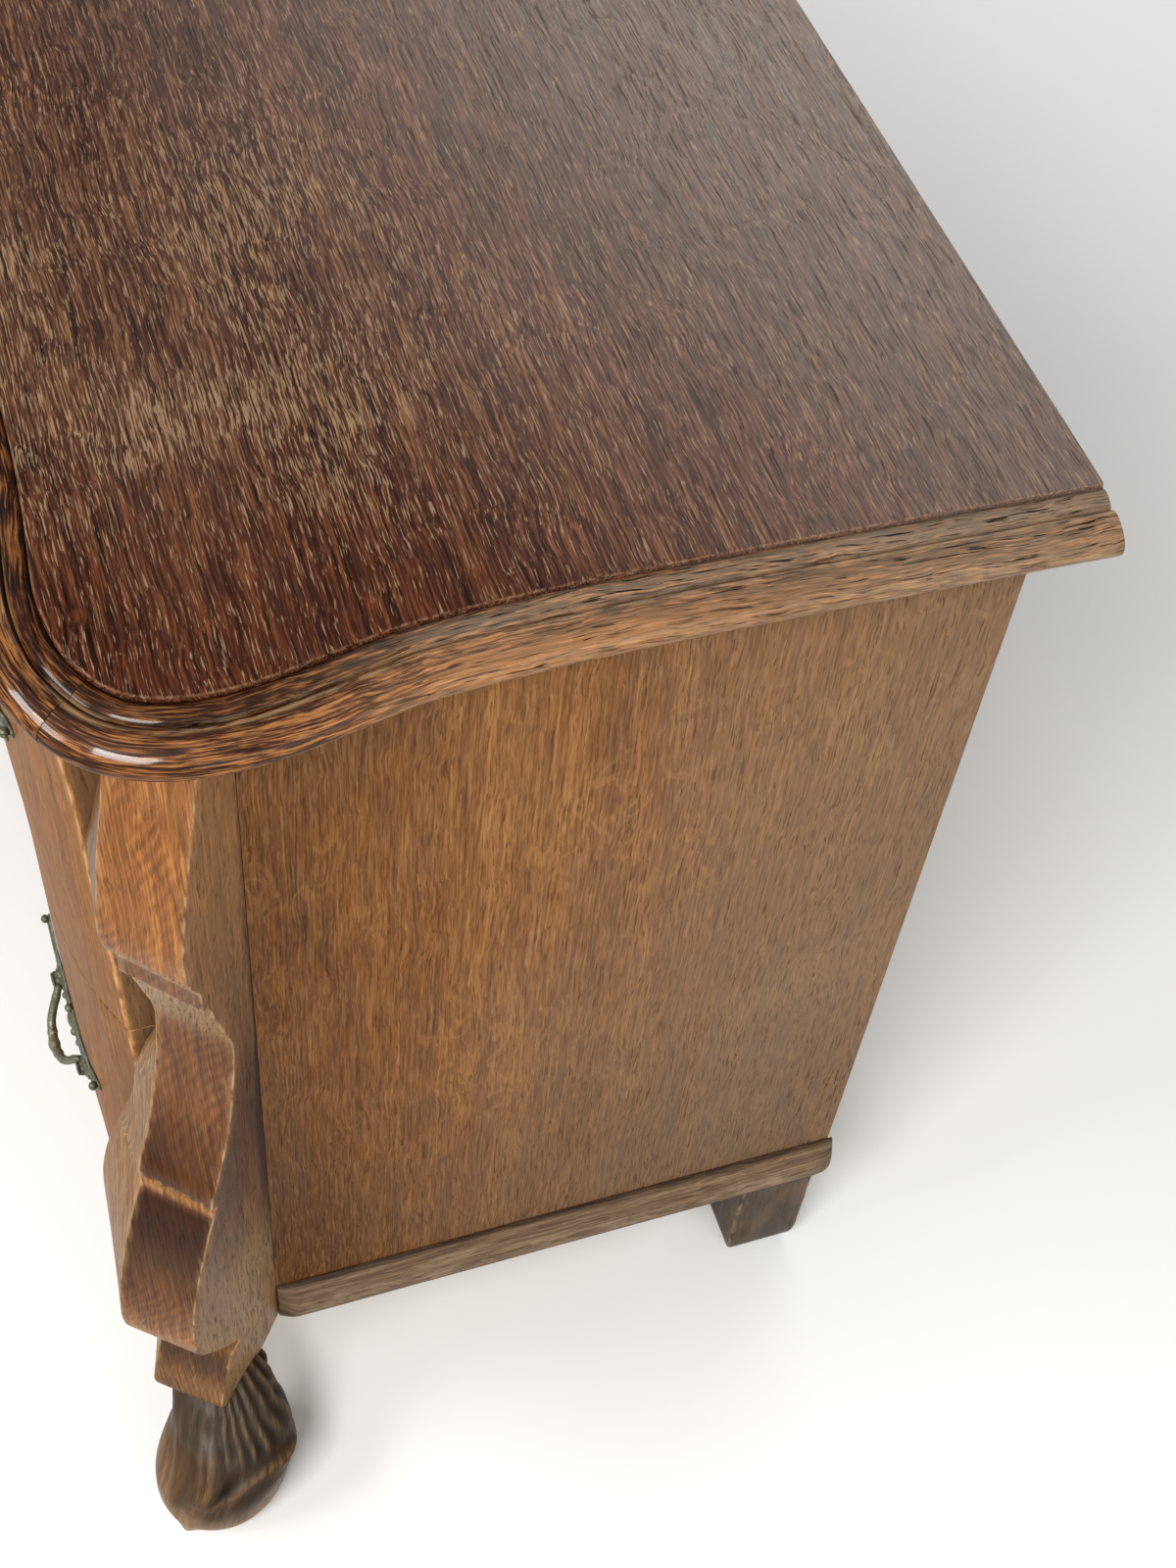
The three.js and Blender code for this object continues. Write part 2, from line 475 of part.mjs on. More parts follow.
function bailLocal() {
  const pts = [];
  const h = POST_HALF;
  const knots = [[h + POST_R + 1.2, -PIVOT_OUT, 0], [h, -PIVOT_OUT, 0], [h - POST_R - 0.9, -PIVOT_OUT, 0], [h - POST_R - 3, -PIVOT_OUT - 0.8, -1],
    [h - POST_R - 6, -PIVOT_OUT - 3, -5], [h - 14.5, -PIVOT_OUT - 6.6, -11.5], [h - 20, -PIVOT_OUT - 9.6, -16.6], [h - 27, -PIVOT_OUT - 12, -20.4], [0, -PIVOT_OUT - 13, -22]];
  const full = [...knots, ...knots.slice(0, -1).reverse().map(([x, y, z]) => [-x, y, z])];
  const c = new THREE.CatmullRomCurve3(full.map((p) => new THREE.Vector3(...p)), false, 'centripetal');
  const N = 34;
  const path = [];
  for (let i = 0; i <= N; i++) { const p = c.getPoint(i / N); path.push([p.x, p.y, p.z]); }
  const R = (t) => {
    const s = Math.abs(t - 0.5) * 2;
    if (s > 0.69) return PIN_R;
    return 2.3 + 0.8 * Math.pow(Math.cos(s * Math.PI * 0.5), 2);
  };
  return rod(path, R, 8);
}
const PLATE = plateLocal();
const BAIL = bailLocal();
const handleSpots = [];
function handlePlace(z0, sideSign) {
  // plane through the serpentine surface under the plate, pushed clear of its highest point
  const xc = fx(HANDLE_IN);
  const a = Math.atan2(frontY(xc + 60, z0 + 5) - frontY(xc - 60, z0 + 5), 120);
  let off = Infinity;
  for (const [px, pz] of [...plateOutline, [0, 0], [20, 5], [-20, 5], [35, 5], [-35, 5]]) {
    const X = xc + px * Math.cos(a);
    const yWood = fy(frontY(X, z0 + pz));
    off = Math.min(off, yWood - px * Math.sin(a));
  }
  return { xc, a, y: off - 0.45, z: z0, s: sideSign };
}

// ---- drawers -----------------------------------------------------------------
function drawer(nm, z0, z1, boxZ0, boxZ1, hz, lockZ) {
  const xs = [37, 44, 52, 62, 74, 88, 104, 124, 150, 190, 250, 330].map(fx);
  const all = [...xs.map((v) => -v), 0, ...xs.slice().reverse()];
  add(`${nm}_front`, 'oak_front', slab(all, 8, () => z0, () => z1, (x, z) => fy(frontY(x, z)), (x) => fy(frontBack(x))));
  const sx0 = fx(54), sx1 = fx(42.2);
  const yb = 452;
  const fb = (xin) => { // the front's inner face between its stations
    const st = [37, 44, 52, 62];
    const i = st.findIndex((v) => v >= xin);
    const t = (xin - st[i - 1]) / (st[i] - st[i - 1]);
    return frontBack(fx(st[i - 1])) * (1 - t) + frontBack(fx(st[i])) * t + GAP;
  };
  const side = prismZ([[sx0, fy(fb(54))], [fx(52), fy(fb(52))], [fx(44), fy(fb(44))], [sx1, fy(fb(42.2))], [sx1, fy(yb)], [sx0, fy(yb)]], boxZ0, boxZ1);
  add(`${nm}_side_right`, 'oak_inner', side);
  add(`${nm}_side_left`, 'oak_inner', mirrorX(side));
  add(`${nm}_back`, 'oak_inner', box(-sx0 + GAP, sx0 - GAP, fy(yb - 12), fy(yb), boxZ0, boxZ1 - 14));
  const inX = sx0 - GAP;
  const bx = [54.5, 62, 74, 88, 104, 124, 150, 190, 250, 330].map(fx);
  const fr = [...bx.map((v) => -v), 0, ...bx.slice().reverse()];
  fr[0] = -inX; fr[fr.length - 1] = inX;
  const poly = [...fr.map((x) => [x, fy(frontBack(x) + 0.9)]), [inX, fy(yb - 12 - GAP)], [-inX, fy(yb - 12 - GAP)]];
  add(`${nm}_bottom`, 'oak_inner', prismZ(poly, boxZ0 + 4, boxZ0 + 12));
  // lock case behind the front, with a bolt that rises out of it, and a key plate
  const yl = fy(frontBack(0) + 1.2);
  const [l0, l1] = lockZ;
  const pocket = box(-12.4, 12.4, yl + 3, yl + 8.6, l1 - 26, l1 + 3);
  add(`${nm}_lock`, 'steel', unsolid(solid(box(-34, 34, yl, yl + 11, l0, l1)).subtract(solid(pocket))));
  add(`${nm}_lock_bolt`, 'steel', box(-12, 12, yl + 3.4, yl + 8.2, l1 - 25.6, l1 - 0.4));
  const kz = (l0 + l1) / 2 - 4;
  const kp = [[0, 27], [5, 22], [11, 20], [9, 13], [14, 6], [13, -3], [8, -9], [10, -16], [5, -21], [0, -28]];
  const kout = [...kp, ...kp.slice(1, -1).reverse().map(([x, z]) => [-x, z])];
  let yk = Infinity;
  for (const [x, z] of [...kout, [0, 0]]) yk = Math.min(yk, fy(frontY(x, kz + z)));
  yk -= 0.45;
  let key = solid(prismY(kout.map(([x, z]) => [x, z + kz]), yk - 2, yk));
  const khole = [[-1.3, -7], [1.3, -7], [1.5, 0.5], [2.9, 2.4], [2.6, 4.8], [0, 6.4], [-2.6, 4.8], [-2.9, 2.4], [-1.5, 0.5]];
  key = key.subtract(solid(prismY(khole.map(([x, z]) => [x, z + kz]), yk - 5, yk + 3)));
  add(`${nm}_key_plate`, 'brass', unsolid(key));
  const h = handlePlace(hz, 1);
  const P = move(spin(PLATE, h.a), h.xc, h.y, h.z);
  const L = move(spin(BAIL, h.a), h.xc, h.y, h.z);
  add(`${nm}_plate_right`, 'brass', P);
  add(`${nm}_plate_left`, 'brass', mirrorX(P));
  add(`${nm}_bail_right`, 'brass', L);
  add(`${nm}_bail_left`, 'brass', mirrorX(L));
  handleSpots.push({ nm, ...h, px: h.xc + PIVOT_OUT * Math.sin(h.a), py: h.y - PIVOT_OUT * Math.cos(h.a), pz: h.z, lock: yl, key: yk });
}
drawer('lower_drawer', LOWER_Z0, LOWER_Z1, 156, 438, HANDLE_Z[0], [389, 439.5]);
drawer('upper_drawer', UPPER_Z0, UPPER_Z1, 462, 748, HANDLE_Z[1], [704, 755]);
group.userData.handles = handleSpots;

export default group;
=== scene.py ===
import math

import bmesh
import bpy
import numpy as np
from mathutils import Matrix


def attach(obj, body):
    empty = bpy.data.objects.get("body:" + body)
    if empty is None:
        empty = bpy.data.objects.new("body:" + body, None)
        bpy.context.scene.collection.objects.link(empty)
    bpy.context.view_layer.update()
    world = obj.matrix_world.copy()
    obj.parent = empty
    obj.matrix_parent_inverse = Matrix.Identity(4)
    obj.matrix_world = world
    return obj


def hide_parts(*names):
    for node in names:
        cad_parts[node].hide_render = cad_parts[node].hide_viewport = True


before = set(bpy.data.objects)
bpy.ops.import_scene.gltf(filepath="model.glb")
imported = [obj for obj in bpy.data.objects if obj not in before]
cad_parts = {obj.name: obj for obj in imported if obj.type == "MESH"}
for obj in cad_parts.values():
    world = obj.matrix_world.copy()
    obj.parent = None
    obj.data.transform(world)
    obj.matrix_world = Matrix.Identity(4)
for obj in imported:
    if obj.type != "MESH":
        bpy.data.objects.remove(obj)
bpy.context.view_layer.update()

# ---- the shared measures, in millimetres, as in the CAD ------------------------------
HALF = 430.0
Y_SHIFT = 258.26
SIDE_FRONT = 102.9
SIDE_BACK = 505.0
WING_IN = 36.0
LEG_T = 50.0
S2 = math.sqrt(0.5)


def table(knots):
    """Monotone cubic through the knots, for single numbers and for arrays."""
    k = sorted(knots)
    x = np.array([p[0] for p in k], float)
    y = np.array([p[1] for p in k], float)
    d = np.diff(y) / np.diff(x)
    m = np.zeros(len(x))
    m[0], m[-1] = d[0], d[-1]
    for i in range(1, len(x) - 1):
        m[i] = 0 if d[i - 1] * d[i] <= 0 else 2 * d[i - 1] * d[i] / (d[i - 1] + d[i])

    def f(v):
        v = np.clip(np.asarray(v, float), x[0], x[-1])
        i = np.clip(np.searchsorted(x, v, side="right") - 1, 0, len(x) - 2)
        h = x[i + 1] - x[i]
        t = (v - x[i]) / h
        t2, t3 = t * t, t * t * t
        return (
            (2 * t3 - 3 * t2 + 1) * y[i]
            + (t3 - 2 * t2 + t) * h * m[i]
            + (-2 * t3 + 3 * t2) * y[i + 1]
            + (t3 - t2) * h * m[i + 1]
        )

    return f


front_b = table([[92, 46], [150, 44.4], [204, 42], [259, 40.4], [300, 40], [350, 39.8], [414, 38.6], [467, 37],
                 [523, 35.2], [592, 32], [636, 31], [676, 29.4], [716, 26], [765, 23]])
front_s = table([[92, 1], [590, 1], [640, 0.97], [676, 0.88], [716, 0.78], [765, 0.66]])
front_a = table([[37, 0], [50, -6], [70, -14], [90, -19.5], [110, -23], [140, -26], [180, -27.6], [240, -28.5],
                 [330, -29], [430, -29.2]])


def front_y(x, z):
    return front_b(z) + front_s(z) * front_a(HALF - np.abs(x))


def front_back(x):
    return 62 + 0.8 * front_a(HALF - np.abs(x))


def smooth(e0, e1, v):
    t = np.clip((np.asarray(v, float) - e0) / (e1 - e0), 0, 1)
    return t * t * (3 - 2 * t)


def bell(v, centre, width):
    return np.exp(-(((np.asarray(v, float) - centre) / width) ** 2))


def wobble(a, b, seed):
    """A smooth, repeatable uneven value between -1 and 1."""
    a = np.asarray(a, float)
    b = np.asarray(b, float)
    s = 0
    for i, (p, q, r) in enumerate([(1, 0.31, 0.9), (0.53, 1.27, 2.1), (1.91, 0.77, 4.4), (2.83, 1.63, 1.3), (0.23, 2.41, 3.7)]):
        s = s + np.sin(a * p + b * q + r * (seed + 1) + 1.7 * np.sin(b * p * 0.6 - a * q * 0.37 + seed * 1.13 + i))
    return s / 5


# ---- meshes ---------------------------------------------------------------------------
def make(name, V, F, slot, body, nodes, grain=None, wear_and_highlights=None, painted_shading_and_patina=None, greying_and_painted_sheen=None, lines=None, gloss=None, sharp=32.0, weld=0.0):
    """V in mm in the row frame; grain in mm: along the grain, across it, into the wood."""
    V = np.asarray(V, float)
    n = len(V)
    me = bpy.data.meshes.new(name)
    me.from_pydata((V * 0.001).tolist(), [], F)
    me.update()
    g = V if grain is None else np.asarray(grain, float)
    at = me.attributes.new("grain", "FLOAT_VECTOR", "POINT")
    at.data.foreach_set("vector", (g * 0.001).ravel().astype(np.float32))
    for key, arr in (("wear_and_highlights", wear_and_highlights), ("painted_shading_and_patina", painted_shading_and_patina), ("greying_and_painted_sheen", greying_and_painted_sheen), ("lines", lines), ("gloss", gloss)):
        a = me.attributes.new(key, "FLOAT", "POINT")
        vals = np.zeros(n) if arr is None else np.broadcast_to(np.asarray(arr, float), (n,))
        a.data.foreach_set("value", vals.astype(np.float32))
    bm = bmesh.new()
    bm.from_mesh(me)
    if weld:
        bmesh.ops.remove_doubles(bm, verts=bm.verts, dist=weld * 0.001)
    bad = [f for f in bm.faces if f.calc_area() < 1e-13]
    if bad and weld:
        bmesh.ops.dissolve_degenerate(bm, dist=1e-7, edges=bm.edges)
    bmesh.ops.recalc_face_normals(bm, faces=bm.faces)
    bm.to_mesh(me)
    bm.free()
    me.shade_smooth()
    me.set_sharp_from_angle(angle=math.radians(sharp))
    ob = bpy.data.objects.new(name, me)
    bpy.context.scene.collection.objects.link(ob)
    ob.data.materials.append(MAT[slot])
    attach(ob, body)
    if nodes:
        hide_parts(*nodes)
    return ob


def mirror(V):
    W = np.array(V, float)
    W[:, 0] *= -1
    return W


def grid_faces(nr, nc, close_c=True, base=0):
    """Quads between nr rings of nc points."""
    F = []
    for r in range(nr - 1):
        for c in range(nc if close_c else nc - 1):
            d = (c + 1) % nc
            F.append((base + r * nc + c, base + r * nc + d, base + (r + 1) * nc + d, base + (r + 1) * nc + c))
    return F


def tube(path, radius, sides=14, ref=(0, 0, 1)):
    """Rings round a path; radius per point. Returns vertices (n, sides, 3)."""
    P = np.asarray(path, float)
    T = np.gradient(P, axis=0)
    T /= np.linalg.norm(T, axis=1)[:, None]
    nrm = np.array(ref, float)
    nrm -= T[0] * (nrm @ T[0])
    nrm /= np.linalg.norm(nrm)
    out = []
    for i in range(len(P)):
        nrm = nrm - T[i] * (nrm @ T[i])
        nrm /= np.linalg.norm(nrm)
        b = np.cross(T[i], nrm)
        q = np.arange(sides) / sides * 2 * np.pi
        out.append(P[i] + radius[i] * (np.cos(q)[:, None] * nrm + np.sin(q)[:, None] * b))
    return np.array(out)


def catmull(K, u):
    """Centripetal Catmull-Rom curve through the knots K, at u from 0 to 1."""
    K = np.asarray(K, float)
    n = len(K)
    out = []
    for w in np.atleast_1d(u):
        p = (n - 1) * min(max(float(w), 0.0), 1.0)
        i = min(int(p), n - 2)
        t = p - i
        p1, p2 = K[i], K[i + 1]
        p0 = K[i - 1] if i > 0 else 2 * K[0] - K[1]
        p3 = K[i + 2] if i + 2 < n else 2 * K[-1] - K[-2]
        d0 = np.sum((p1 - p0) ** 2) ** 0.25
        d1 = np.sum((p2 - p1) ** 2) ** 0.25
        d2 = np.sum((p3 - p2) ** 2) ** 0.25
        a = ((p1 - p0) / d0 - (p2 - p0) / (d0 + d1) + (p2 - p1) / d1) * d1
        b = ((p2 - p1) / d1 - (p3 - p1) / (d1 + d2) + (p3 - p2) / d2) * d1
        c2 = -3 * p1 + 3 * p2 - 2 * a - b
        c3 = 2 * p1 - 2 * p2 + a + b
        out.append(p1 + a * t + c2 * t * t + c3 * t * t * t)
    return np.array(out)


def arc_len(P):
    return np.concatenate([[0], np.cumsum(np.linalg.norm(np.diff(np.asarray(P, float), axis=0), axis=1))])


# ---- materials ------------------------------------------------------------------------
def lin(c):
    """sRGB 0..255 to a linear colour."""
    o = []
    for v in c:
        v = v / 255.0
        o.append(v / 12.92 if v <= 0.04045 else ((v + 0.055) / 1.055) ** 2.4)
    return (o[0], o[1], o[2], 1.0)


class Nodes:
    def __init__(self, name):
        self.mat = bpy.data.materials.new(name)
        self.mat.use_nodes = True
        self.t = self.mat.node_tree
        self.t.nodes.clear()
        self.out = self.t.nodes.new("ShaderNodeOutputMaterial")
        self.bsdf = self.t.nodes.new("ShaderNodeBsdfPrincipled")
        self.t.links.new(self.bsdf.outputs[0], self.out.inputs["Surface"])

    def put(self, sock, v):
        if isinstance(v, bpy.types.NodeSocket):
            self.t.links.new(v, sock)
        elif v is not None:
            sock.default_value = v

    def attr(self, name, what="Fac"):
        n = self.t.nodes.new("ShaderNodeAttribute")
        n.attribute_name = name
        return n.outputs[what]

    def math(self, op, a, b=None, c=None, clamp=False):
        n = self.t.nodes.new("ShaderNodeMath")
        n.operation = op
        n.use_clamp = clamp
        self.put(n.inputs[0], a)
        if b is not None:
            self.put(n.inputs[1], b)
        if c is not None:
            self.put(n.inputs[2], c)
        return n.outputs[0]

    def vec(self, op, a, b=None):
        n = self.t.nodes.new("ShaderNodeVectorMath")
        n.operation = op
        self.put(n.inputs[0], a)
        if b is not None:
            self.put(n.inputs[1], b)
        return n.outputs[0]

    def xyz(self, v):
        n = self.t.nodes.new("ShaderNodeSeparateXYZ")
        self.put(n.inputs[0], v)
        return n.outputs[0], n.outputs[1], n.outputs[2]

    def comb(self, x, y, z):
        n = self.t.nodes.new("ShaderNodeCombineXYZ")
        for s, v in zip(n.inputs, (x, y, z)):
            self.put(s, v)
        return n.outputs[0]

    def noise(self, v, scale=1.0, detail=3.0, rough=0.5, distort=0.0):
        n = self.t.nodes.new("ShaderNodeTexNoise")
        n.noise_dimensions = "3D"
        self.put(n.inputs["Vector"], v)
        n.inputs["Scale"].default_value = scale
        n.inputs["Detail"].default_value = detail
        n.inputs["Roughness"].default_value = rough
        n.inputs["Distortion"].default_value = distort
        return n.outputs["Fac"]

    def range(self, v, a, b, c=0.0, d=1.0, smoothly=True):
        n = self.t.nodes.new("ShaderNodeMapRange")
        n.interpolation_type = "SMOOTHSTEP" if smoothly else "LINEAR"
        self.put(n.inputs[0], v)
        for i, x in enumerate((a, b, c, d)):
            n.inputs[i + 1].default_value = x
        return n.outputs[0]

    def ramp(self, fac, stops):
        n = self.t.nodes.new("ShaderNodeValToRGB")
        r = n.color_ramp
        while len(r.elements) < len(stops):
            r.elements.new(0.5)
        for e, (p, c) in zip(r.elements, stops):
            e.position = p
            e.color = c
        self.put(n.inputs[0], fac)
        return n.outputs[0]

    def mix(self, fac, a, b, mode="MIX"):
        n = self.t.nodes.new("ShaderNodeMix")
        n.data_type = "RGBA"
        n.blend_type = mode
        n.clamp_factor = True
        self.put(n.inputs[0], fac)
        self.put(n.inputs[6], a)
        self.put(n.inputs[7], b)
        return n.outputs[2]

    def bump(self, height, strength, dist, normal=None):
        n = self.t.nodes.new("ShaderNodeBump")
        n.inputs["Strength"].default_value = strength
        n.inputs["Distance"].default_value = dist
        self.put(n.inputs["Height"], height)
        if normal is not None:
            self.put(n.inputs["Normal"], normal)
        return n.outputs[0]


def oak(name, dark, mid, light, worn_and_highlight, axes=None, streak=(35, 550), band=(7, 150), broad=(2.0, 26), pore=(70, 1500),
        pore_amt=0.6, pore_col=(40, 26, 17), fleck=0.0, fleck_col=(165, 138, 112), ripple=0.0, grey=(118, 100, 86),
        rough=(0.42, 0.62), coat=0.0, coat_rough=0.25, bump=0.35, warp=0.004, spec=0.4, patch=0.25, fade_and_painted_sheen=None,
        worn_zone=None, weights=(0.42, 0.33, 0.25), contrast=0.19, painted_darkening=None, sheen=None, rays=0.0, fleck_sc=(55, 640), ripple_col=(176, 146, 120),
        gloss=0.0, painted_shade_col=(150, 136, 118), grit=0.0, grit_sc=(22, 1000)):
    """Stained, waxed oak. Scales are per metre: along the grain, then across it."""
    N = Nodes(name)
    if axes is None:
        g = N.attr("grain", "Vector")
    else:
        tc = N.t.nodes.new("ShaderNodeTexCoord")
        s = dict(zip("xyz", N.xyz(tc.outputs["Object"])))
        g = N.comb(s[axes[0]], s[axes[1]], s[axes[2]])
    # slow waviness of the grain
    w = N.noise(g, 9.0, 2.0, 0.5)
    w2 = N.noise(N.vec("ADD", g, (3.1, 1.7, 0.4)), 31.0, 2.0, 0.5)
    dx = N.math("ADD", N.math("MULTIPLY", N.math("SUBTRACT", w, 0.5), warp * 2.6),
                N.math("MULTIPLY", N.math("SUBTRACT", w2, 0.5), warp))
    gw = N.vec("ADD", g, N.comb(0.0, dx, dx))

    def layer(sc, detail, rg, off=(0.0, 0.0, 0.0), src=None):
        return N.noise(N.vec("MULTIPLY", N.vec("ADD", src or gw, off), (sc[0], sc[1], sc[1])), 1.0, detail, rg)

    n1 = layer(streak, 3.0, 0.62)
    n2 = layer(band, 4.0, 0.6, (1.3, 0.2, 0.1))
    n3 = layer(broad, 3.0, 0.55, (0.7, 2.2, 0.9))
    v = N.math("ADD", N.math("ADD", N.math("MULTIPLY", n1, weights[0]), N.math("MULTIPLY", n2, weights[1])),
               N.math("MULTIPLY", n3, weights[2]))
    v = N.range(v, 0.5 - contrast, 0.5 + contrast, smoothly=False)
    col = N.ramp(v, [(0.0, lin(dark)), (0.5, lin(mid)), (1.0, lin(light))])
    # patches of greyer and warmer colour
    p = N.noise(N.vec("MULTIPLY", g, (3.0, 9.0, 9.0)), 1.0, 2.0, 0.5)
    col = N.mix(N.math("MULTIPLY", N.range(p, 0.42, 0.68), patch), col, N.mix(0.55, col, lin(grey)))
    if ripple:
        # figure: soft dark bars that rise to one side
        r = N.xyz(g)
        rw = N.noise(N.vec("MULTIPLY", g, (22, 22, 22)), 1.0, 3.0, 0.5)
        ph = N.math("ADD", N.math("MULTIPLY", N.math("ADD", r[0], N.math("MULTIPLY", r[1], 1.25)), 2 * math.pi / 0.0095),
                    N.math("MULTIPLY", rw, 11.0))
        rp = N.math("MULTIPLY", N.range(N.math("SINE", ph), -0.9, 1.0), N.range(N.noise(N.vec("MULTIPLY", g, (16, 30, 30)), 1.0, 4.0, 0.65), 0.4, 0.62))
        col = N.mix(N.math("MULTIPLY", rp, ripple), col, N.mix(1.0, col, lin(ripple_col), "MULTIPLY"))
        # fine pale scratches, where the carving left them
        sw = N.noise(N.vec("MULTIPLY", g, (26, 26, 26)), 1.0, 2.0, 0.5)
        sp = N.math("ADD", N.math("MULTIPLY", N.math("ADD", N.math("MULTIPLY", r[1], 1.0), N.math("MULTIPLY", r[0], 0.42)), 250.0),
                    N.math("MULTIPLY", sw, 3.0))
        sl = N.range(N.math("ABSOLUTE", N.math("SUBTRACT", N.math("FRACT", sp), 0.5)), 0.09, 0.02)
        sl = N.math("MULTIPLY", sl, N.range(N.noise(N.vec("MULTIPLY", g, (60, 220, 220)), 1.0, 2.0, 0.5), 0.42, 0.6))
        col = N.mix(N.math("MULTIPLY", sl, N.attr("lines")), col, lin((196, 166, 134)))
    if rays:
        # the pale wavy flecks of quarter-sawn boards
        q1 = N.noise(N.vec("MULTIPLY", N.vec("ADD", g, (6.0, 2.0, 3.0)), (30, 62, 62)), 1.0, 2.0, 0.45, 0.8)
        qz = N.range(N.noise(N.vec("ADD", g, (1.0, 8.0, 2.0)), 7.0, 2.0, 0.5), 0.46, 0.62)
        ql = N.math("MULTIPLY", N.math("MULTIPLY", N.range(q1, 0.53, 0.56), N.range(q1, 0.64, 0.58)), qz)
        qd = N.math("MULTIPLY", N.math("MULTIPLY", N.range(q1, 0.49, 0.515), N.range(q1, 0.54, 0.52)), qz)
        col = N.mix(N.math("MULTIPLY", qd, rays * 0.7), col, lin(mid))
        col = N.mix(N.math("MULTIPLY", ql, rays), col, lin(light))
    # greying and painted sheen: 0 as stained, 1 grey-olive; partly faded wood, partly a painted sheen where faces catch
    # the sky
    greying_and_painted_sheen = N.attr("greying_and_painted_sheen") if axes is None else 0.0
    if axes is None:
        # painted light and shade from the attribute: positive values lift the colour towards the light colour
        painted_shading = N.attr("painted_shading_and_patina")
        col = N.mix(N.math("MAXIMUM", painted_shading, 0.0), col, lin(light))
        col = N.mix(greying_and_painted_sheen, col, N.mix(0.72, col, lin(grey)))
    # greying from a given mask: a painted sheen on the top and the side panel, faint random faded patches on the
    # moulding
    if fade_and_painted_sheen:
        col = N.mix(fade_and_painted_sheen(N, g), col, N.mix(0.6, col, lin(grey)))
    # painted shade: darker where a given mask says, multiplied by a shade colour
    if painted_darkening:
        col = N.mix(painted_darkening(N, g), col, N.mix(1.0, col, lin(painted_shade_col), "MULTIPLY"))
    if grit:
        # fine streaks that stay sharp where the stain has faded
        gn = layer(grit_sc, 3.0, 0.65, (5.0, 3.0, 7.0))
        gm = N.range(gn, 0.34, 0.66, 0.5, 1.5, smoothly=False)
        col = N.mix(grit, col, N.mix(1.0, col, N.comb(gm, gm, gm), "MULTIPLY"))
    # pale flecks where the polish has gone
    if fleck:
        f1 = layer(fleck_sc, 2.0, 0.5, (0.3, 5.0, 2.0))
        f2 = N.noise(N.vec("ADD", g, (9.0, 4.0, 1.0)), 9.0, 4.0, 0.6)
        zone = N.range(f2, 0.38, 0.62)
        if worn_zone:
            zone = N.math("MULTIPLY", zone, worn_zone(N, g), clamp=True)
        fl = N.math("MULTIPLY", N.range(N.math("ADD", f1, N.math("MULTIPLY", zone, 0.105)), 0.6, 0.68), fleck)
        col = N.mix(fl, col, lin(fleck_col))
    # open pores
    po = layer(pore, 2.0, 0.55, (2.0, 0.6, 3.0))
    pm = N.math("MULTIPLY", N.range(po, 0.44, 0.35), N.range(n2, 0.36, 0.62, 0.45, 1.0))
    if axes is None:
        pm = N.math("MULTIPLY", pm, N.math("ADD", 0.7, N.math("MULTIPLY", greying_and_painted_sheen, 0.8)), clamp=True)
    col = N.mix(N.math("MULTIPLY", pm, pore_amt), col, lin(pore_col))
    if axes is None:
        # painted shade: negative values darken the colour towards (96, 66, 50) in hollows, under overhangs and on faces
        # that get less light
        col = N.mix(N.math("MAXIMUM", N.math("MULTIPLY", painted_shading, -1.0), 0.0), col,
                    N.mix(1.0, col, lin((96, 66, 50)), "MULTIPLY"))
        # pale wear on arrises, plus painted highlights along the leg lips, the base torus and the foot's toe and ridges
        nw = N.noise(N.vec("MULTIPLY", g, (70, 260, 260)), 1.0, 3.0, 0.6)
        wr = N.math("MULTIPLY", N.attr("wear_and_highlights"), N.range(nw, 0.38, 0.62), clamp=True)
        col = N.mix(wr, col, lin(worn_and_highlight))
    N.put(N.bsdf.inputs["Base Color"], col)
    rg = N.math("ADD", N.math("MULTIPLY", N.range(n2, 0.3, 0.7), rough[1] - rough[0]), rough[0])
    rg = N.math("ADD", rg, N.math("MULTIPLY", pm, 0.15), clamp=True)
    N.put(N.bsdf.inputs["Roughness"], rg)
    if sheen:
        N.put(N.bsdf.inputs["Specular IOR Level"], sheen(N, g))
    else:
        N.bsdf.inputs["Specular IOR Level"].default_value = spec
    if gloss:
        # the polish survives where the attribute says so
        N.put(N.bsdf.inputs["Coat Weight"], N.math("ADD", coat, N.math("MULTIPLY", N.attr("gloss"), gloss), clamp=True))
    else:
        N.bsdf.inputs["Coat Weight"].default_value = coat
    N.bsdf.inputs["Coat Roughness"].default_value = coat_rough
    h = N.math("SUBTRACT", N.math("MULTIPLY", n1, 0.5), N.math("MULTIPLY", pm, 0.7))
    h = N.math("ADD", h, N.math("MULTIPLY", n2, 0.4))
    N.put(N.bsdf.inputs["Normal"], N.bump(h, bump, 0.0006))
    return N.mat


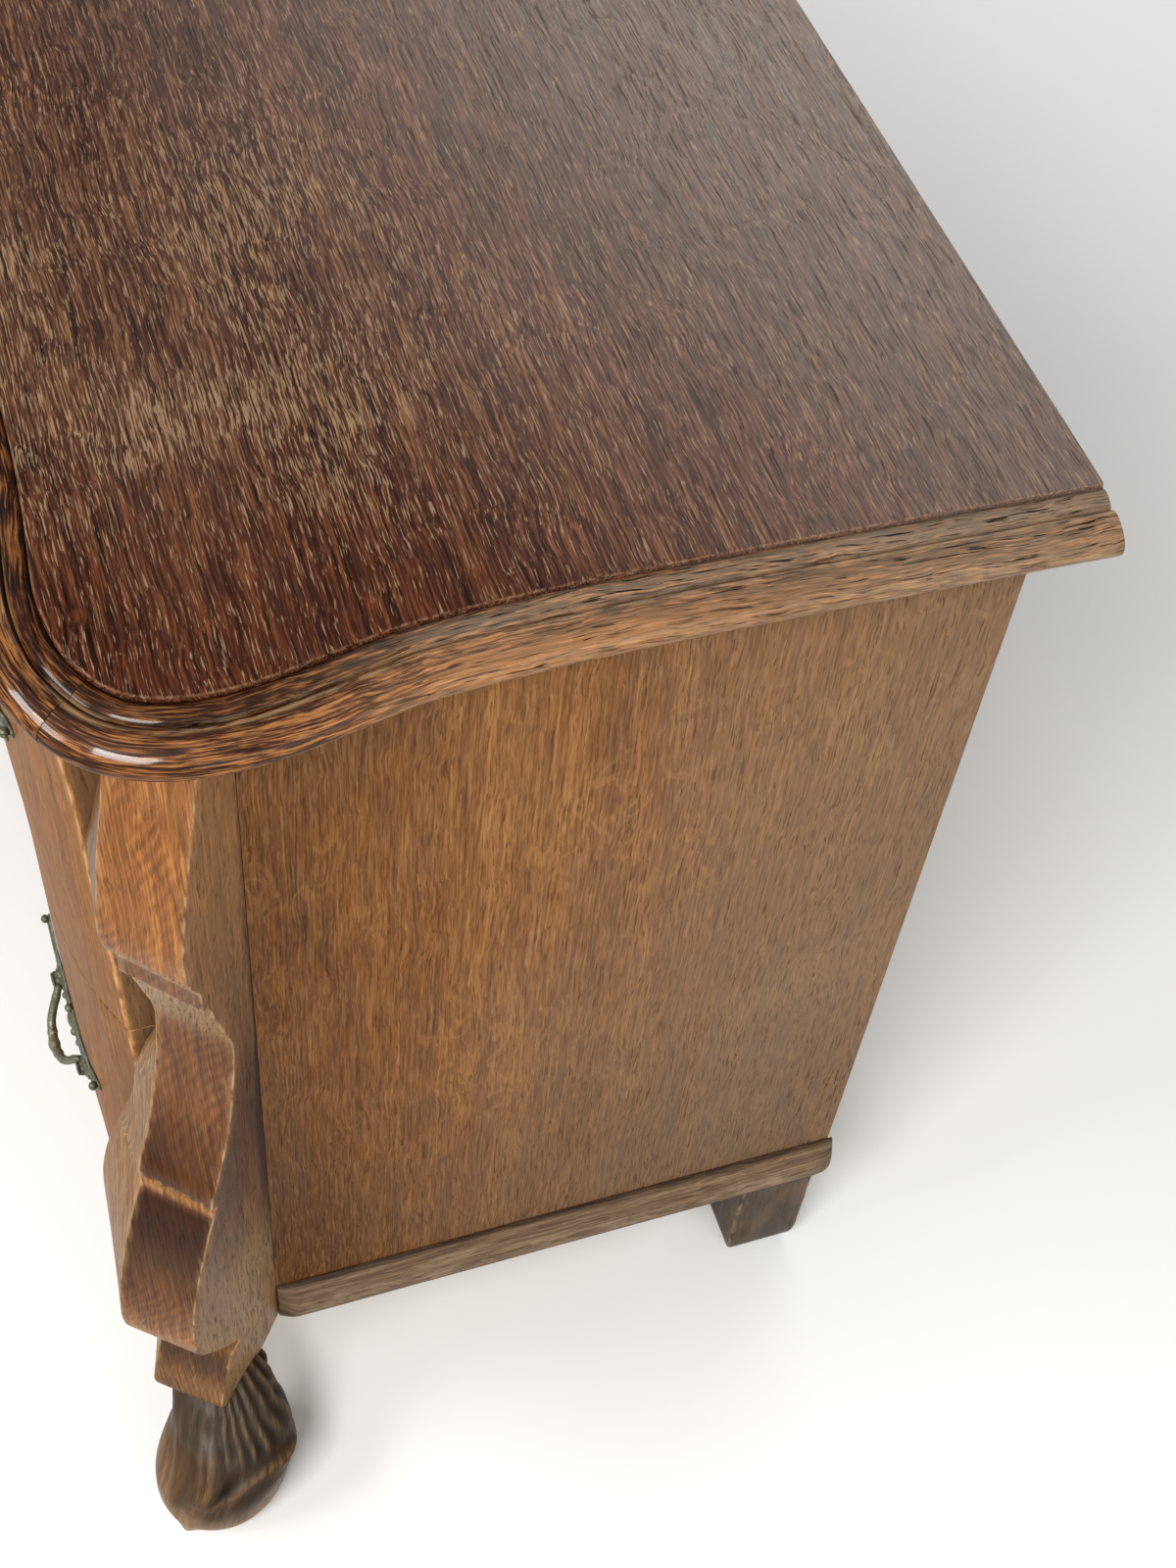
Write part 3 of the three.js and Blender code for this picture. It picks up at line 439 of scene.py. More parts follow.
def brass_mat(name):
    N = Nodes(name)
    tc = N.t.nodes.new("ShaderNodeTexCoord")
    o = tc.outputs["Object"]
    a = N.noise(o, 240.0, 4.0, 0.6)
    b = N.noise(N.vec("ADD", o, (2.0, 3.0, 1.0)), 70.0, 3.0, 0.6)
    c = N.noise(N.vec("ADD", o, (5.0, 1.0, 7.0)), 900.0, 3.0, 0.6)
    col = N.ramp(b, [(0.3, lin((46, 50, 42))), (0.52, lin((76, 82, 68))), (0.72, lin((106, 102, 76)))])
    col = N.mix(N.range(a, 0.54, 0.66), col, lin((54, 66, 54)))
    col = N.mix(N.math("MULTIPLY", N.range(c, 0.55, 0.7), 0.45), col, lin((128, 108, 64)))
    shd = N.attr("painted_shading_and_patina")
    col = N.mix(N.math("MAXIMUM", N.math("MULTIPLY", shd, -1.0), 0.0), col, lin((26, 27, 22)))
    col = N.mix(N.math("MULTIPLY", N.attr("wear_and_highlights"), N.range(c, 0.35, 0.6)), col, lin((150, 142, 112)))
    N.put(N.bsdf.inputs["Base Color"], col)
    N.bsdf.inputs["Metallic"].default_value = 0.6
    N.put(N.bsdf.inputs["Roughness"], N.range(a, 0.3, 0.7, 0.36, 0.62))
    N.put(N.bsdf.inputs["Normal"], N.bump(N.math("ADD", a, N.math("MULTIPLY", c, 0.5)), 0.35, 0.0008))
    return N.mat


def steel_mat(name):
    N = Nodes(name)
    tc = N.t.nodes.new("ShaderNodeTexCoord")
    o = tc.outputs["Object"]
    a = N.noise(o, 160.0, 4.0, 0.6)
    b = N.noise(N.vec("MULTIPLY", o, (60.0, 900.0, 900.0)), 1.0, 3.0, 0.6)
    col = N.ramp(a, [(0.35, lin((96, 94, 90))), (0.6, lin((138, 136, 130))), (0.75, lin((120, 92, 66)))])
    N.put(N.bsdf.inputs["Base Color"], col)
    N.bsdf.inputs["Metallic"].default_value = 0.9
    N.put(N.bsdf.inputs["Roughness"], N.range(b, 0.3, 0.7, 0.3, 0.55))
    N.put(N.bsdf.inputs["Normal"], N.bump(b, 0.2, 0.0003))
    return N.mat


def towards_back(N, g):
    x, y, z = N.xyz(g)
    return N.math("SUBTRACT", N.math("MULTIPLY", y, 1.3), N.math("MULTIPLY", x, 0.45))


def painted_sheen_top(N, g):
    # painted sheen: greyer towards the far back corner
    return N.range(towards_back(N, g), -0.3, 0.26, 0.0, 0.9)


def sheen_top(N, g):
    # the polish is dull at the front and brighter at the back
    return N.range(towards_back(N, g), -0.3, 0.3, 0.1, 0.44)


def worn_top(N, g):
    x, y, z = N.xyz(g)
    a = N.math("MULTIPLY", N.range(x, 0.42, 0.33, 0.05, 1.0), N.range(x, -0.02, 0.14, 0.25, 1.0))
    b = N.range(y, 0.1, -0.08, 0.2, 1.0)
    return N.math("MULTIPLY", a, b)


def painted_shade_top(N, g):
    # painted shade: darker and deeper in colour along the front, where the top shows no sheen
    x, y, z = N.xyz(g)
    return N.math("MULTIPLY", N.range(x, 0.22, 0.45, 0.0, 1.0), N.range(y, 0.14, -0.12, 0.2, 1.0))


def fade_edge(N, g):
    # the paler, greyer side is set in top_edge; here only faint greyer patches at random
    x, y, z = N.xyz(g)
    return N.range(N.noise(N.vec("MULTIPLY", g, (4.0, 60.0, 60.0)), 1.0, 2.0, 0.5), 0.45, 0.7, 0.0, 0.07)


def painted_sheen_side(N, g):
    # painted sheen: greyer towards the back and the base; g is (up, depth, across)
    z, y, x = N.xyz(g)
    return N.range(N.math("SUBTRACT", y, N.math("MULTIPLY", z, 0.22)), -0.21, 0.12, 0.0, 0.92)


def painted_shade_side(N, g):
    # painted shade: darker beside the leg and towards the base
    z, y, x = N.xyz(g)
    a = N.range(y, -0.03, -0.14, 0.0, 0.52)
    b = N.range(z, 0.42, 0.2, 0.0, 0.26)
    return N.math("ADD", a, b, clamp=True)


MAT = {}
MAT["oak_top"] = oak("stained_oak_top", (22, 10, 6), (71, 40, 26), (118, 80, 54), (146, 112, 84), streak=(22, 800), band=(9, 280),
                     broad=(2.2, 34), pore=(20, 950), pore_amt=0.9, pore_col=(18, 9, 6), fleck=0.62, fleck_col=(158, 130, 100), rough=(0.34, 0.5), grit=0.55, grit_sc=(16, 950),
                     coat=0.0, bump=0.8, grey=(122, 108, 99), patch=0.12, fade_and_painted_sheen=painted_sheen_top, worn_zone=worn_top, sheen=sheen_top, fleck_sc=(64, 1200),
                     contrast=0.108, weights=(0.6, 0.26, 0.14), painted_darkening=painted_shade_top, painted_shade_col=(222, 182, 156))
MAT["oak_edge"] = oak("stained_oak_edge", (18, 8, 4), (70, 34, 16), (170, 112, 60), (188, 154, 112), streak=(64, 820), band=(24, 260),
                      broad=(8, 60), pore=(50, 950), pore_amt=0.95, pore_col=(14, 6, 4), rough=(0.26, 0.44), coat=0.1, coat_rough=0.09, bump=0.6,
                      grey=(130, 114, 96), patch=0.05, warp=0.004, contrast=0.092, grit=0.7, grit_sc=(44, 1250), spec=0.05, fade_and_painted_sheen=fade_edge, weights=(0.56, 0.28, 0.16), gloss=0.8)
SIDE = dict(streak=(20, 700), band=(6, 180), broad=(0.9, 18), pore=(50, 1000), pore_amt=0.6, pore_col=(58, 32, 16), fleck=0.14,
            fleck_col=(174, 136, 94), rough=(0.5, 0.66), coat=0.0, bump=0.45, grey=(118, 102, 86), patch=0.3, contrast=0.155, spec=0.08,
            weights=(0.52, 0.28, 0.2), fleck_sc=(60, 1000))
MAT["oak_side_panel"] = oak("stained_oak_side_panel", (72, 41, 17), (122, 78, 38), (159, 113, 64), (180, 140, 96), axes="zyx", fade_and_painted_sheen=painted_sheen_side,
                            painted_darkening=painted_shade_side, rays=0.42, grit=0.25, grit_sc=(16, 900), **SIDE)
MAT["oak_side"] = oak("stained_oak_side", (50, 36, 26), (94, 76, 58), (138, 116, 94), (168, 146, 122), **SIDE)
MAT["oak_leg"] = oak("stained_oak_leg", (66, 34, 11), (126, 76, 31), (164, 112, 58), (206, 172, 130), streak=(20, 760), band=(8, 240),
                     broad=(6, 50), pore=(60, 900), pore_amt=0.65, pore_col=(48, 25, 11), ripple=0.46, grey=(122, 103, 74), rough=(0.36, 0.52), grit=0.5, grit_sc=(20, 520),
                     coat=0.03, coat_rough=0.2, spec=0.14, bump=0.5, patch=0.2, warp=0.004, contrast=0.15)
MAT["oak_foot"] = oak("stained_oak_foot", (30, 20, 12), (57, 41, 26), (122, 92, 60), (156, 120, 82), streak=(26, 420), band=(14, 90),
                      broad=(14, 40), pore=(80, 900), pore_amt=0.35, rough=(0.36, 0.54), coat=0.05, coat_rough=0.2, spec=0.13, bump=0.3, patch=0.3,
                      grey=(84, 75, 60), contrast=0.3, weights=(0.2, 0.25, 0.55))
MAT["oak_front"] = oak("stained_oak_front", (82, 48, 19), (120, 78, 37), (154, 110, 64), (222, 170, 116), streak=(14, 560), band=(4, 140),
                       broad=(1.6, 22), pore=(50, 1000), pore_amt=0.45, pore_col=(66, 38, 20), rough=(0.46, 0.6), coat=0.0,
                       spec=0.08, bump=0.35, patch=0.25, grey=(122, 100, 78), contrast=0.15)
INNER = dict(streak=(10, 420), band=(3, 110), broad=(0.8, 15), pore=(40, 1100), pore_amt=0.4, pore_col=(110, 80, 50), rough=(0.6, 0.8), bump=0.3,
             patch=0.3, grey=(160, 142, 118), spec=0.25)
for ax in ("xyz", "yxz", "zyx", "zxy"):
    MAT["oak_inner_" + ax] = oak("plain_oak_" + ax, (134, 102, 66), (176, 142, 98), (204, 174, 128), (214, 190, 150), axes=ax, **INNER)
MAT["oak_front_xyz"] = oak("stained_oak_rail", (104, 70, 44), (150, 110, 76), (184, 146, 106), (206, 174, 134), axes="xyz", streak=(14, 520),
                           band=(4, 130), broad=(1.6, 22), rough=(0.4, 0.56), coat=0.15, coat_rough=0.25, bump=0.3)
MAT["brass"] = brass_mat("aged_brass")
MAT["steel"] = steel_mat("worn_steel")

# ---- carried-over CAD nodes: better materials on their own slots -------------------------
KEEP = {
    "oak_side_panel": ["side_panel_left", "side_panel_right"],
    "oak_inner_zyx": ["rear_post_left", "rear_post_right"],
    "oak_inner_xyz": ["middle_rail", "dust_board", "bottom_board", "lower_drawer_back", "upper_drawer_back", "lower_drawer_bottom",
                      "upper_drawer_bottom"],
    "oak_inner_zxy": ["back_panel"],
    "oak_inner_yxz": ["runner_lower_left", "runner_lower_right", "runner_upper_left", "runner_upper_right"]
    + [d + "_side_" + s for d in ("lower_drawer", "upper_drawer") for s in ("left", "right")],
    "oak_front_xyz": ["top_rail_front"],
    "steel": ["lower_drawer_lock", "upper_drawer_lock", "lower_drawer_lock_bolt", "upper_drawer_lock_bolt"],
}
for mat, names in KEEP.items():
    for nm in names:
        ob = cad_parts[nm]
        if not ob.material_slots:
            ob.data.materials.append(MAT[mat])
        for s in ob.material_slots:
            s.material = MAT[mat]

# ---- top ---------------------------------------------------------------------------------
FIELD = [[1.5, 533], [2.6, 470], [3.6, 400], [4.2, 330], [4.1, 280], [3, 240], [0.8, 203], [-1.6, 180], [-5.9, 160],
         [-10.6, 140], [-15, 119], [-17.2, 102], [-17.2, 86], [-14.6, 70], [-10, 58.5], [-2, 48.6], [10, 40.6], [24, 34.6],
         [42, 30.9], [60, 29.7], [80, 30.9], [100, 32.7], [125, 34.4], [160, 35.4], [205, 34.6], [260, 31.4], [320, 27],
         [380, 23.6], [430, 22.6]]
FIELD_XY = np.array([[HALF - a, b - Y_SHIFT] for a, b in FIELD])
K = len(FIELD) - 1
U_MITRE = 15.6 / K
EDGE_A = [(0.3, 797.3), (3.6, 797.9), (7.6, 796.9), (10.6, 794.8), (11.7, 792.2)]
EDGE_B = [(12.3, 794.0), (14.2, 795.35), (17.5, 795.5), (23.5, 793.4), (28.6, 789.6), (30.9, 785.6), (30.6, 782), (28.8, 778.8), (25.5, 776.4), (21, 775.6)]


def field(u):
    P = catmull(FIELD_XY, u)
    e = 1e-4
    T = catmull(FIELD_XY, np.clip(u + e, 0, 1)) - catmull(FIELD_XY, np.clip(u - e, 0, 1))
    T /= np.linalg.norm(T, axis=1)[:, None]
    return P, np.stack([-T[:, 1], T[:, 0]], 1)


def top_panel():
    u = np.linspace(0, 1, K * 14 + 1)
    P, n = field(u)
    n[0] = (1, 0)
    right, rn = P, n
    left, ln = mirror(P[:-1][::-1]), mirror(n[:-1][::-1])
    O = np.concatenate([right, left])
    Nn = np.concatenate([rn, ln])
    m = len(O)
    s = arc_len(O)
    # a softened arris, nibbled unevenly
    nib = 0.28 + 0.3 * np.abs(wobble(s * 0.33, s * 0.021, 3)) + 0.35 * np.clip(wobble(s * 0.9, s * 0.05, 8) - 0.35, 0, 1)
    rows = []
    wear_and_highlights = []
    for off, dz, wr in ((0, 775.0, 0), (0, 797.4, 0.0), (0, 799.0, 0.1), (-0.15, 799.5, 0.45), (-0.45, 799.82, 0.4), (-0.9, 800.0, 0.12),
                        (-1.4, 800.0, 0.0), (-9, 800.0, 0)):
        k = 1.0 if -1.2 < off < 0 or (off == 0 and dz > 798) else 0.0
        o = off - k * nib * 0.8
        xy = O + Nn * o[:, None] if isinstance(o, np.ndarray) else O + Nn * o
        z = np.full(m, dz)
        if 798 < dz < 800:
            z = z - nib * 0.5
        rows.append(np.column_stack([xy, z]))
        wear_and_highlights.append(np.full(m, wr))
    # keep the two open ends on the back plane
    for r in rows:
        r[0, 1] = r[-1, 1] = 533 - Y_SHIFT
    V = np.concatenate(rows)
    F = []
    R = len(rows)
    for r in range(R - 1):
        for c in range(m - 1):
            F.append((r * m + c, r * m + c + 1, (r + 1) * m + c + 1, (r + 1) * m + c))
    F.append(tuple((R - 1) * m + c for c in range(m)))
    F.append(tuple(c for c in reversed(range(m))))
    F.append(tuple([r * m for r in range(R)] + [r * m + m - 1 for r in reversed(range(R))]))
    g = V.copy()
    g[:, 2] *= 1.0
    make("top_panel_wood", V, F, "oak_top", "carcass", ["top_panel"], grain=g, wear_and_highlights=np.concatenate(wear_and_highlights), sharp=40)


def edge_profile():
    A = catmull(EDGE_A, np.linspace(0, 1, 15))
    B = catmull(EDGE_B, np.linspace(0, 1, 46))
    B[:, 0] = np.minimum(B[:, 0], 31.0)
    return np.concatenate([A, B, [[10, 775.6], [0.3, 775.6]]])


def top_edge(name, node, u, mirrored, both=False, seed=0):
    P, n = field(u)
    if u[0] == 0:
        n[0] = (1, 0)
    prof = edge_profile()
    m = len(prof)
    if both:
        n[-1] = (0, -1)
        P = np.concatenate([P, mirror(P[:-1][::-1])])
        n = np.concatenate([n, mirror(n[:-1][::-1])])
    s = arc_len(P)
    rp = arc_len(prof)
    V = []
    G = []
    W = []
    H = []
    T = []
    for i in range(len(P)):
        dent = 0.18 * wobble(s[i] * 0.05 + rp * 0.12, s[i] * 0.013, seed)
        o = prof[:, 0] + np.where(prof[:, 0] > 1, dent - 0.18, 0)
        o = np.clip(o, 0.3, 31.0)
        V.append(np.column_stack([P[i, 0] + n[i, 0] * o, P[i, 1] + n[i, 1] * o, prof[:, 1]]))
        G.append(np.column_stack([np.full(m, s[i] + seed * 911), rp + 0.35 * s[i] * 0.05 + seed * 77, prof[:, 0] * 0.4]))
        away = smooth(440, 300, s[i]) if not both else 0.0
        wl = 0.3 * bell(rp, rp[14] - 1.6, 1.0) + 0.4 * bell(rp, rp[20] + 1.2, 1.3) + 0.5 * bell(rp, rp[42], 6) * away * (0.6 + 0.4 * wobble(s[i] * 0.02, 3, seed))
        W.append(np.clip(wl, 0, 1))
        # painted shade in the quirk and under the torus; darker at the joint with the top and at the corner, paler
        # along the side
        H.append(-1.0 * bell(rp, rp[15], 0.8) - 0.7 * smooth(rp[54], rp[60], rp) - 0.5 * bell(rp, 0, 2.0)
                 - (1 - away) * (0.35 + 0.25 * smooth(rp[16], rp[12], rp) - 0.2 * bell(rp, rp[36], 6))
                 + away * (0.55 * smooth(rp[22], rp[32], rp) * smooth(rp[57], rp[51], rp) + 0.05 * bell(rp, rp[7], 4.5)) * (1 - 0.65 * smooth(280, 60, s[i])))
        # greyer along the side and at the far back; on the ovolo the grey is a painted sheen
        T.append((0.3 * bell(rp, rp[7], 4.5) + 0.42) * away + 0.3 * smooth(240, 60, s[i]) * (not both))
    V = np.concatenate(V)
    if mirrored:
        V = mirror(V)
    F = grid_faces(len(P), m)
    F.append(tuple(range(m)))
    F.append(tuple((len(P) - 1) * m + c for c in reversed(range(m))))
    glossy = np.tile(bell(rp, rp[30], 5.0) + 0.5 * bell(rp, rp[7], 4.0), len(P))
    make(name, V, F, "oak_edge", "carcass", [node], grain=np.concatenate(G), wear_and_highlights=np.concatenate(W), painted_shading_and_patina=np.concatenate(H),
         greying_and_painted_sheen=np.concatenate(T), gloss=glossy, sharp=38)


top_panel()
us = np.concatenate([[0], np.linspace(0.02 / K, 15.6 / K - 0.0004, 190)])
top_edge("top_moulding_right", "top_edge_right", us, False, seed=1)
top_edge("top_moulding_left", "top_edge_left", us, True, seed=2)
top_edge("top_moulding_front", "top_edge_front", np.linspace(U_MITRE + 0.0004, 1, 150), False, both=True, seed=5)

# ---- corner legs ---------------------------------------------------------------------------
SCROLL = [[774.6, 25.5], [749, 29], [732, 32.4], [713, 36.4], [696, 41], [671, 47], [644, 52], [622, 55], [609, 54.4],
          [599, 51.5], [589, 47], [583, 44.4], [581, 44], [567, 43.7], [565.2, 41.8], [564.6, 40.2], [545, 34.4], [520, 27.2], [502, 22.4], [490, 21.2],
          [477, 22.4], [450, 26.4], [432, 30], [405, 38.4], [388, 46], [379, 50], [373, 54.2], [364, 56], [361, 55.4], [359.6, 52.2],
          [340, 61], [325, 68], [311, 74], [297, 79], [283, 83], [266, 86.5], [249, 88.5], [235, 89.2], [221, 87.6], [208, 83.4],
          [197, 77], [186, 70], [172, 60.5], [163, 53.5], [155, 47], [150.4, 45.4], [149.2, 52.5], [142, 57.6], [135, 60.4], [118, 65.5],
          [104, 69.8], [95, 71.6], [91, 70.5], [88, 67.5]]
WING = [[775, 57], [730, 52], [696, 45.5], [662, 37.5], [638, 32.6], [614, 32.2], [598, 32.8], [580, 36], [560, 42],
        [530, 49], [490, 54], [454, 52.6], [440, 46.5], [414, 38.2], [389, 34.4], [371, 28.2], [354, 21.5], [335, 15.1],
        [316, 10.9], [298, 8.5], [281, 7.6], [264, 7.2], [240, 8], [216, 9], [178, 10.4], [168, 14], [157, 24], [150, 28], [85, 30]]
scroll = table(SCROLL)
wing_y = table(WING)
left_grow = table([[85, 6], [150, 5], [240, 4.5], [330, 3], [375, 0], [800, 0]])


def arc_corner(a, p, b, r, n=4):
    """Points that round the corner p between a and b."""
    a, p, b = map(np.asarray, (a, p, b))
    da = (a - p) / np.linalg.norm(a - p)
    db = (b - p) / np.linalg.norm(b - p)
    q0, q1 = p + da * r, p + db * r
    t = np.linspace(0, 1, n)[:, None]
    return (1 - t) ** 2 * q0 + 2 * t * (1 - t) * p + t ** 2 * q1


def leg(sign, name, node):
    zs = sorted(set([k[0] for k in SCROLL] + list(np.arange(88, 774.6, 3.0)) + [566.2, 568, 570, 564, 582, 584, 586, 362.4, 363.2, 358.8, 150.9, 149.8,
                                                                            152, 153.5, 148, 89, 93, 92]), reverse=True)
    V, G, W, H, T, Ln = [], [], [], [], [], []
    nR, nF, nL, nA = 7, 14, 8, 5
    path_f = 0.0
    last = None
    for z in zs:
        u = float(scroll(z))
        ul = u + float(left_grow(z))
        s = np.array([0, SIDE_FRONT - 0.3])
        p1 = s + np.array([-u * S2, -u * S2])
        p2 = s + np.array([LEG_T * S2 - ul * S2, -LEG_T * S2 - ul * S2])
        pw = np.array([WING_IN, float(wing_y(z))])
        worn_and_highlight = 0.5 + 0.5 * wobble(z * 0.11, z * 0.017, 2 + sign)
        r1 = 1.0 + 0.9 * max(0.0, float(wobble(z * 0.21, z * 0.05, 5)))
        c1 = arc_corner(s, p1, p2, r1, nA)
        c2 = arc_corner(p1, p2, pw, 1.1 + 5.0 * float(smooth(101, 88, z)), nA)
        R = [s + (c1[0] - s) * t for t in np.linspace(0, 1, nR)[:-1]]
        Fm = [c1[-1] + (c2[0] - c1[-1]) * t for t in np.linspace(0, 1, nF)[1:-1]]
        L = [c2[-1] + (pw - c2[-1]) * t for t in np.linspace(0, 1, nL)[1:]]
        ring = np.array(R + list(c1) + Fm + list(c2) + L + [[WING_IN, SIDE_FRONT - 0.3]])
        k = len(ring)
        if last is not None:
            path_f += math.hypot(z - last[0], u - last[1])
        last = (z, u)
        # distance across the faces
        a = arc_len(ring)
        fA, fB = a[nR - 1 + nA - 1], a[nR - 1 + nA + nF - 2]
        onF = smooth(fA - 1.2, fA, a) * (1 - smooth(fB, fB + 1.2, a))
        onR = 1 - smooth(a[nR - 1] - 0.5, a[nR - 1] + 1.0, a)
        onL = smooth(fB + 0.5, fB + 2.0, a)
        arr = bell(a, a[nR - 1 + nA // 2], 0.75)
        arrL = bell(a, a[nR - 1 + nA + nF - 2 + nA // 2], 1.2)
        w = arr * (0.15 + 0.55 * worn_and_highlight) + arrL * 0.3
        # painted highlight: pale lines along the rounded lips under the blocks and on the ledges, carried as wear
        lip_highlight = 0.5 * bell(z, 590, 5.0) + 0.35 * bell(z, 566.5, 0.9) + 0.35 * bell(z, 363.0, 1.6) + 0.2 * bell(z, 352, 1.2)
        w = w + onF * lip_highlight
        across = np.clip((a - fA) / max(fB - fA, 1e-6), 0, 1)
        # painted sheen: greyer on the lip, on the cove that faces up, on the top of block 3 and on the lower ledges
        painted_sheen_f = (0.5 * bell(z, 590, 7) + 0.8 * smooth(565.5, 564, z) * smooth(490, 512, z) + 0.6 * smooth(352, 345, z) * smooth(278, 318, z)
               + 0.5 * smooth(160, 150, z) * smooth(112, 136, z) + 0.15 * smooth(583.5, 581.5, z) * smooth(565.2, 567, z) + 0.18 * smooth(262, 205, z) * smooth(150, 156, z) + 0.35 * smooth(126, 110, z))
        # painted shade down the front face: the strip under block 1, block 2, the top of block 3 and the lower blocks;
        # painted light on the cove and between 176 and 262 mm
        painted_shading_f = (-0.45 * smooth(583.5, 581.5, z) * smooth(565.2, 567, z) + 0.22 * smooth(565, 563, z) * smooth(495, 520, z) - 0.55 * smooth(354, 347, z) * smooth(245, 335, z)
                - 0.48 * smooth(520, 480, z) * smooth(358, 364, z) - 0.42 * smooth(440, 372, z) * smooth(358, 366, z) * (0.6 + 0.4 * across) - 0.42 * smooth(354, 347, z) * smooth(215, 262, z)
                + 0.25 * smooth(262, 215, z) * smooth(158, 176, z) - 0.5 * smooth(152, 150, z) * smooth(108, 134, z) - 0.3 * smooth(150, 140, z)
                - 0.12 * bell(z, 700, 40) * across)
        seam = bell(a, 0, 1.0)
        T.append(onF * painted_sheen_f + onR * (0.34 + 0.61 * smooth(340, 200, z)) + onL * 0.62)
        # painted light above and below on the right face and painted shade at its waist; a dark joint along the seam;
        # the left face darker towards the top
        H.append(onF * painted_shading_f - 0.75 * seam * onR + onR * (0.5 * smooth(540, 700, z) - 0.75 * bell(z, 400, 100) + 0.75 * smooth(290, 180, z)) - onL * (0.05 + 0.3 * smooth(560, 640, z)))
        W.append(np.clip(w, 0, 1))
        Ln.append(onL * 0.75 + onF * (0.12 + 0.25 * smooth(262, 215, z)))
        # grain: straight up on F, R and L alike, and round the ring across it
        G.append(np.column_stack([np.full(k, z) + sign * 1333, a * 1.0, np.full(k, 5.0)]))
        V.append(np.column_stack([HALF - ring[:, 0], ring[:, 1] - Y_SHIFT, np.full(k, z)]))
    k = len(V[0])
    V = np.array(V)
    # the inner side ends higher than the tip of the outer face
    uu = (V[:, :, 0] - HALF) / S2
    lift = np.zeros(V.shape[:2])
    up = np.interp(uu, [0, 7.4, 19, 30, 39, 53, 69, 75], [14, 11, 3, 0, -4, -4, 0, 0])
    vv = V[:, :, 2]
    near = smooth(135, 88, vv)
    onright = np.zeros(k)
    onright[: nR + 1] = 1.0
    V[:, :, 2] = vv + near * up * onright[None, :]
    V = V.reshape(-1, 3)
    if sign < 0:
        V = mirror(V)
    n = len(zs)
    F = grid_faces(n, k)
    F.append(tuple(range(k)))
    F.append(tuple((n - 1) * k + c for c in reversed(range(k))))
    make(name, V, F, "oak_leg", "carcass", [node], grain=np.concatenate(G), wear_and_highlights=np.concatenate(W), painted_shading_and_patina=np.concatenate(H), greying_and_painted_sheen=np.concatenate(T),
         lines=np.concatenate(Ln), sharp=30)


leg(1, "corner_leg_right", "leg_front_right")
leg(-1, "corner_leg_left", "leg_front_left")

# ---- carved front feet ----------------------------------------------------------------------
FOOT = np.array([[0, 78, 38, 35, -3.5], [4, 79, 44, 39.8, -2.2], [12, 80, 48.5, 43.3, -1.2], [22, 80.5, 50.5, 44.4, -1.8],
                 [33, 80, 50, 45, -2.4], [44, 77.5, 48, 45.3, -3.7], [54, 73, 44, 45, -4.5], [63, 67, 40, 41, -2],
                 [72, 60, 36, 38.8, 4.2], [79, 55, 31.5, 36, 10.2], [84.6, 48.5, 30.5, 32.5, 13], [90, 43, 26, 26, 17], [97, 38, 20, 17, 20]])
toe_len = table([[0, 6.5], [4, 7], [12, 3.8], [22, 1.2], [33, 0], [97, 0]])
foot_c = table(FOOT[:, [0, 1]].tolist())
foot_u = table(FOOT[:, [0, 2]].tolist())
foot_v = table(FOOT[:, [0, 3]].tolist())
foot_o = table(FOOT[:, [0, 4]].tolist())
RIDGE_TOP = [-62, -40, -22, -6, 8, 17, 29, 38, 48, 62, 79, 100, 122, 146, 168, 190]
RIDGE_LOW = [-70, -50, -31, -15, 0, 14, 28, 42, 57, 73, 95, 122, 142, 160, 178, 196]
s_line = table([[-60, 30], [-30, 36], [-6, 41], [13, 43.6], [21, 46.5], [29, 50.6], [38, 55], [50, 58.6], [63, 60], [80, 58.8], [95, 56.6], [114, 53], [131, 48], [170, 42], [200, 38]])


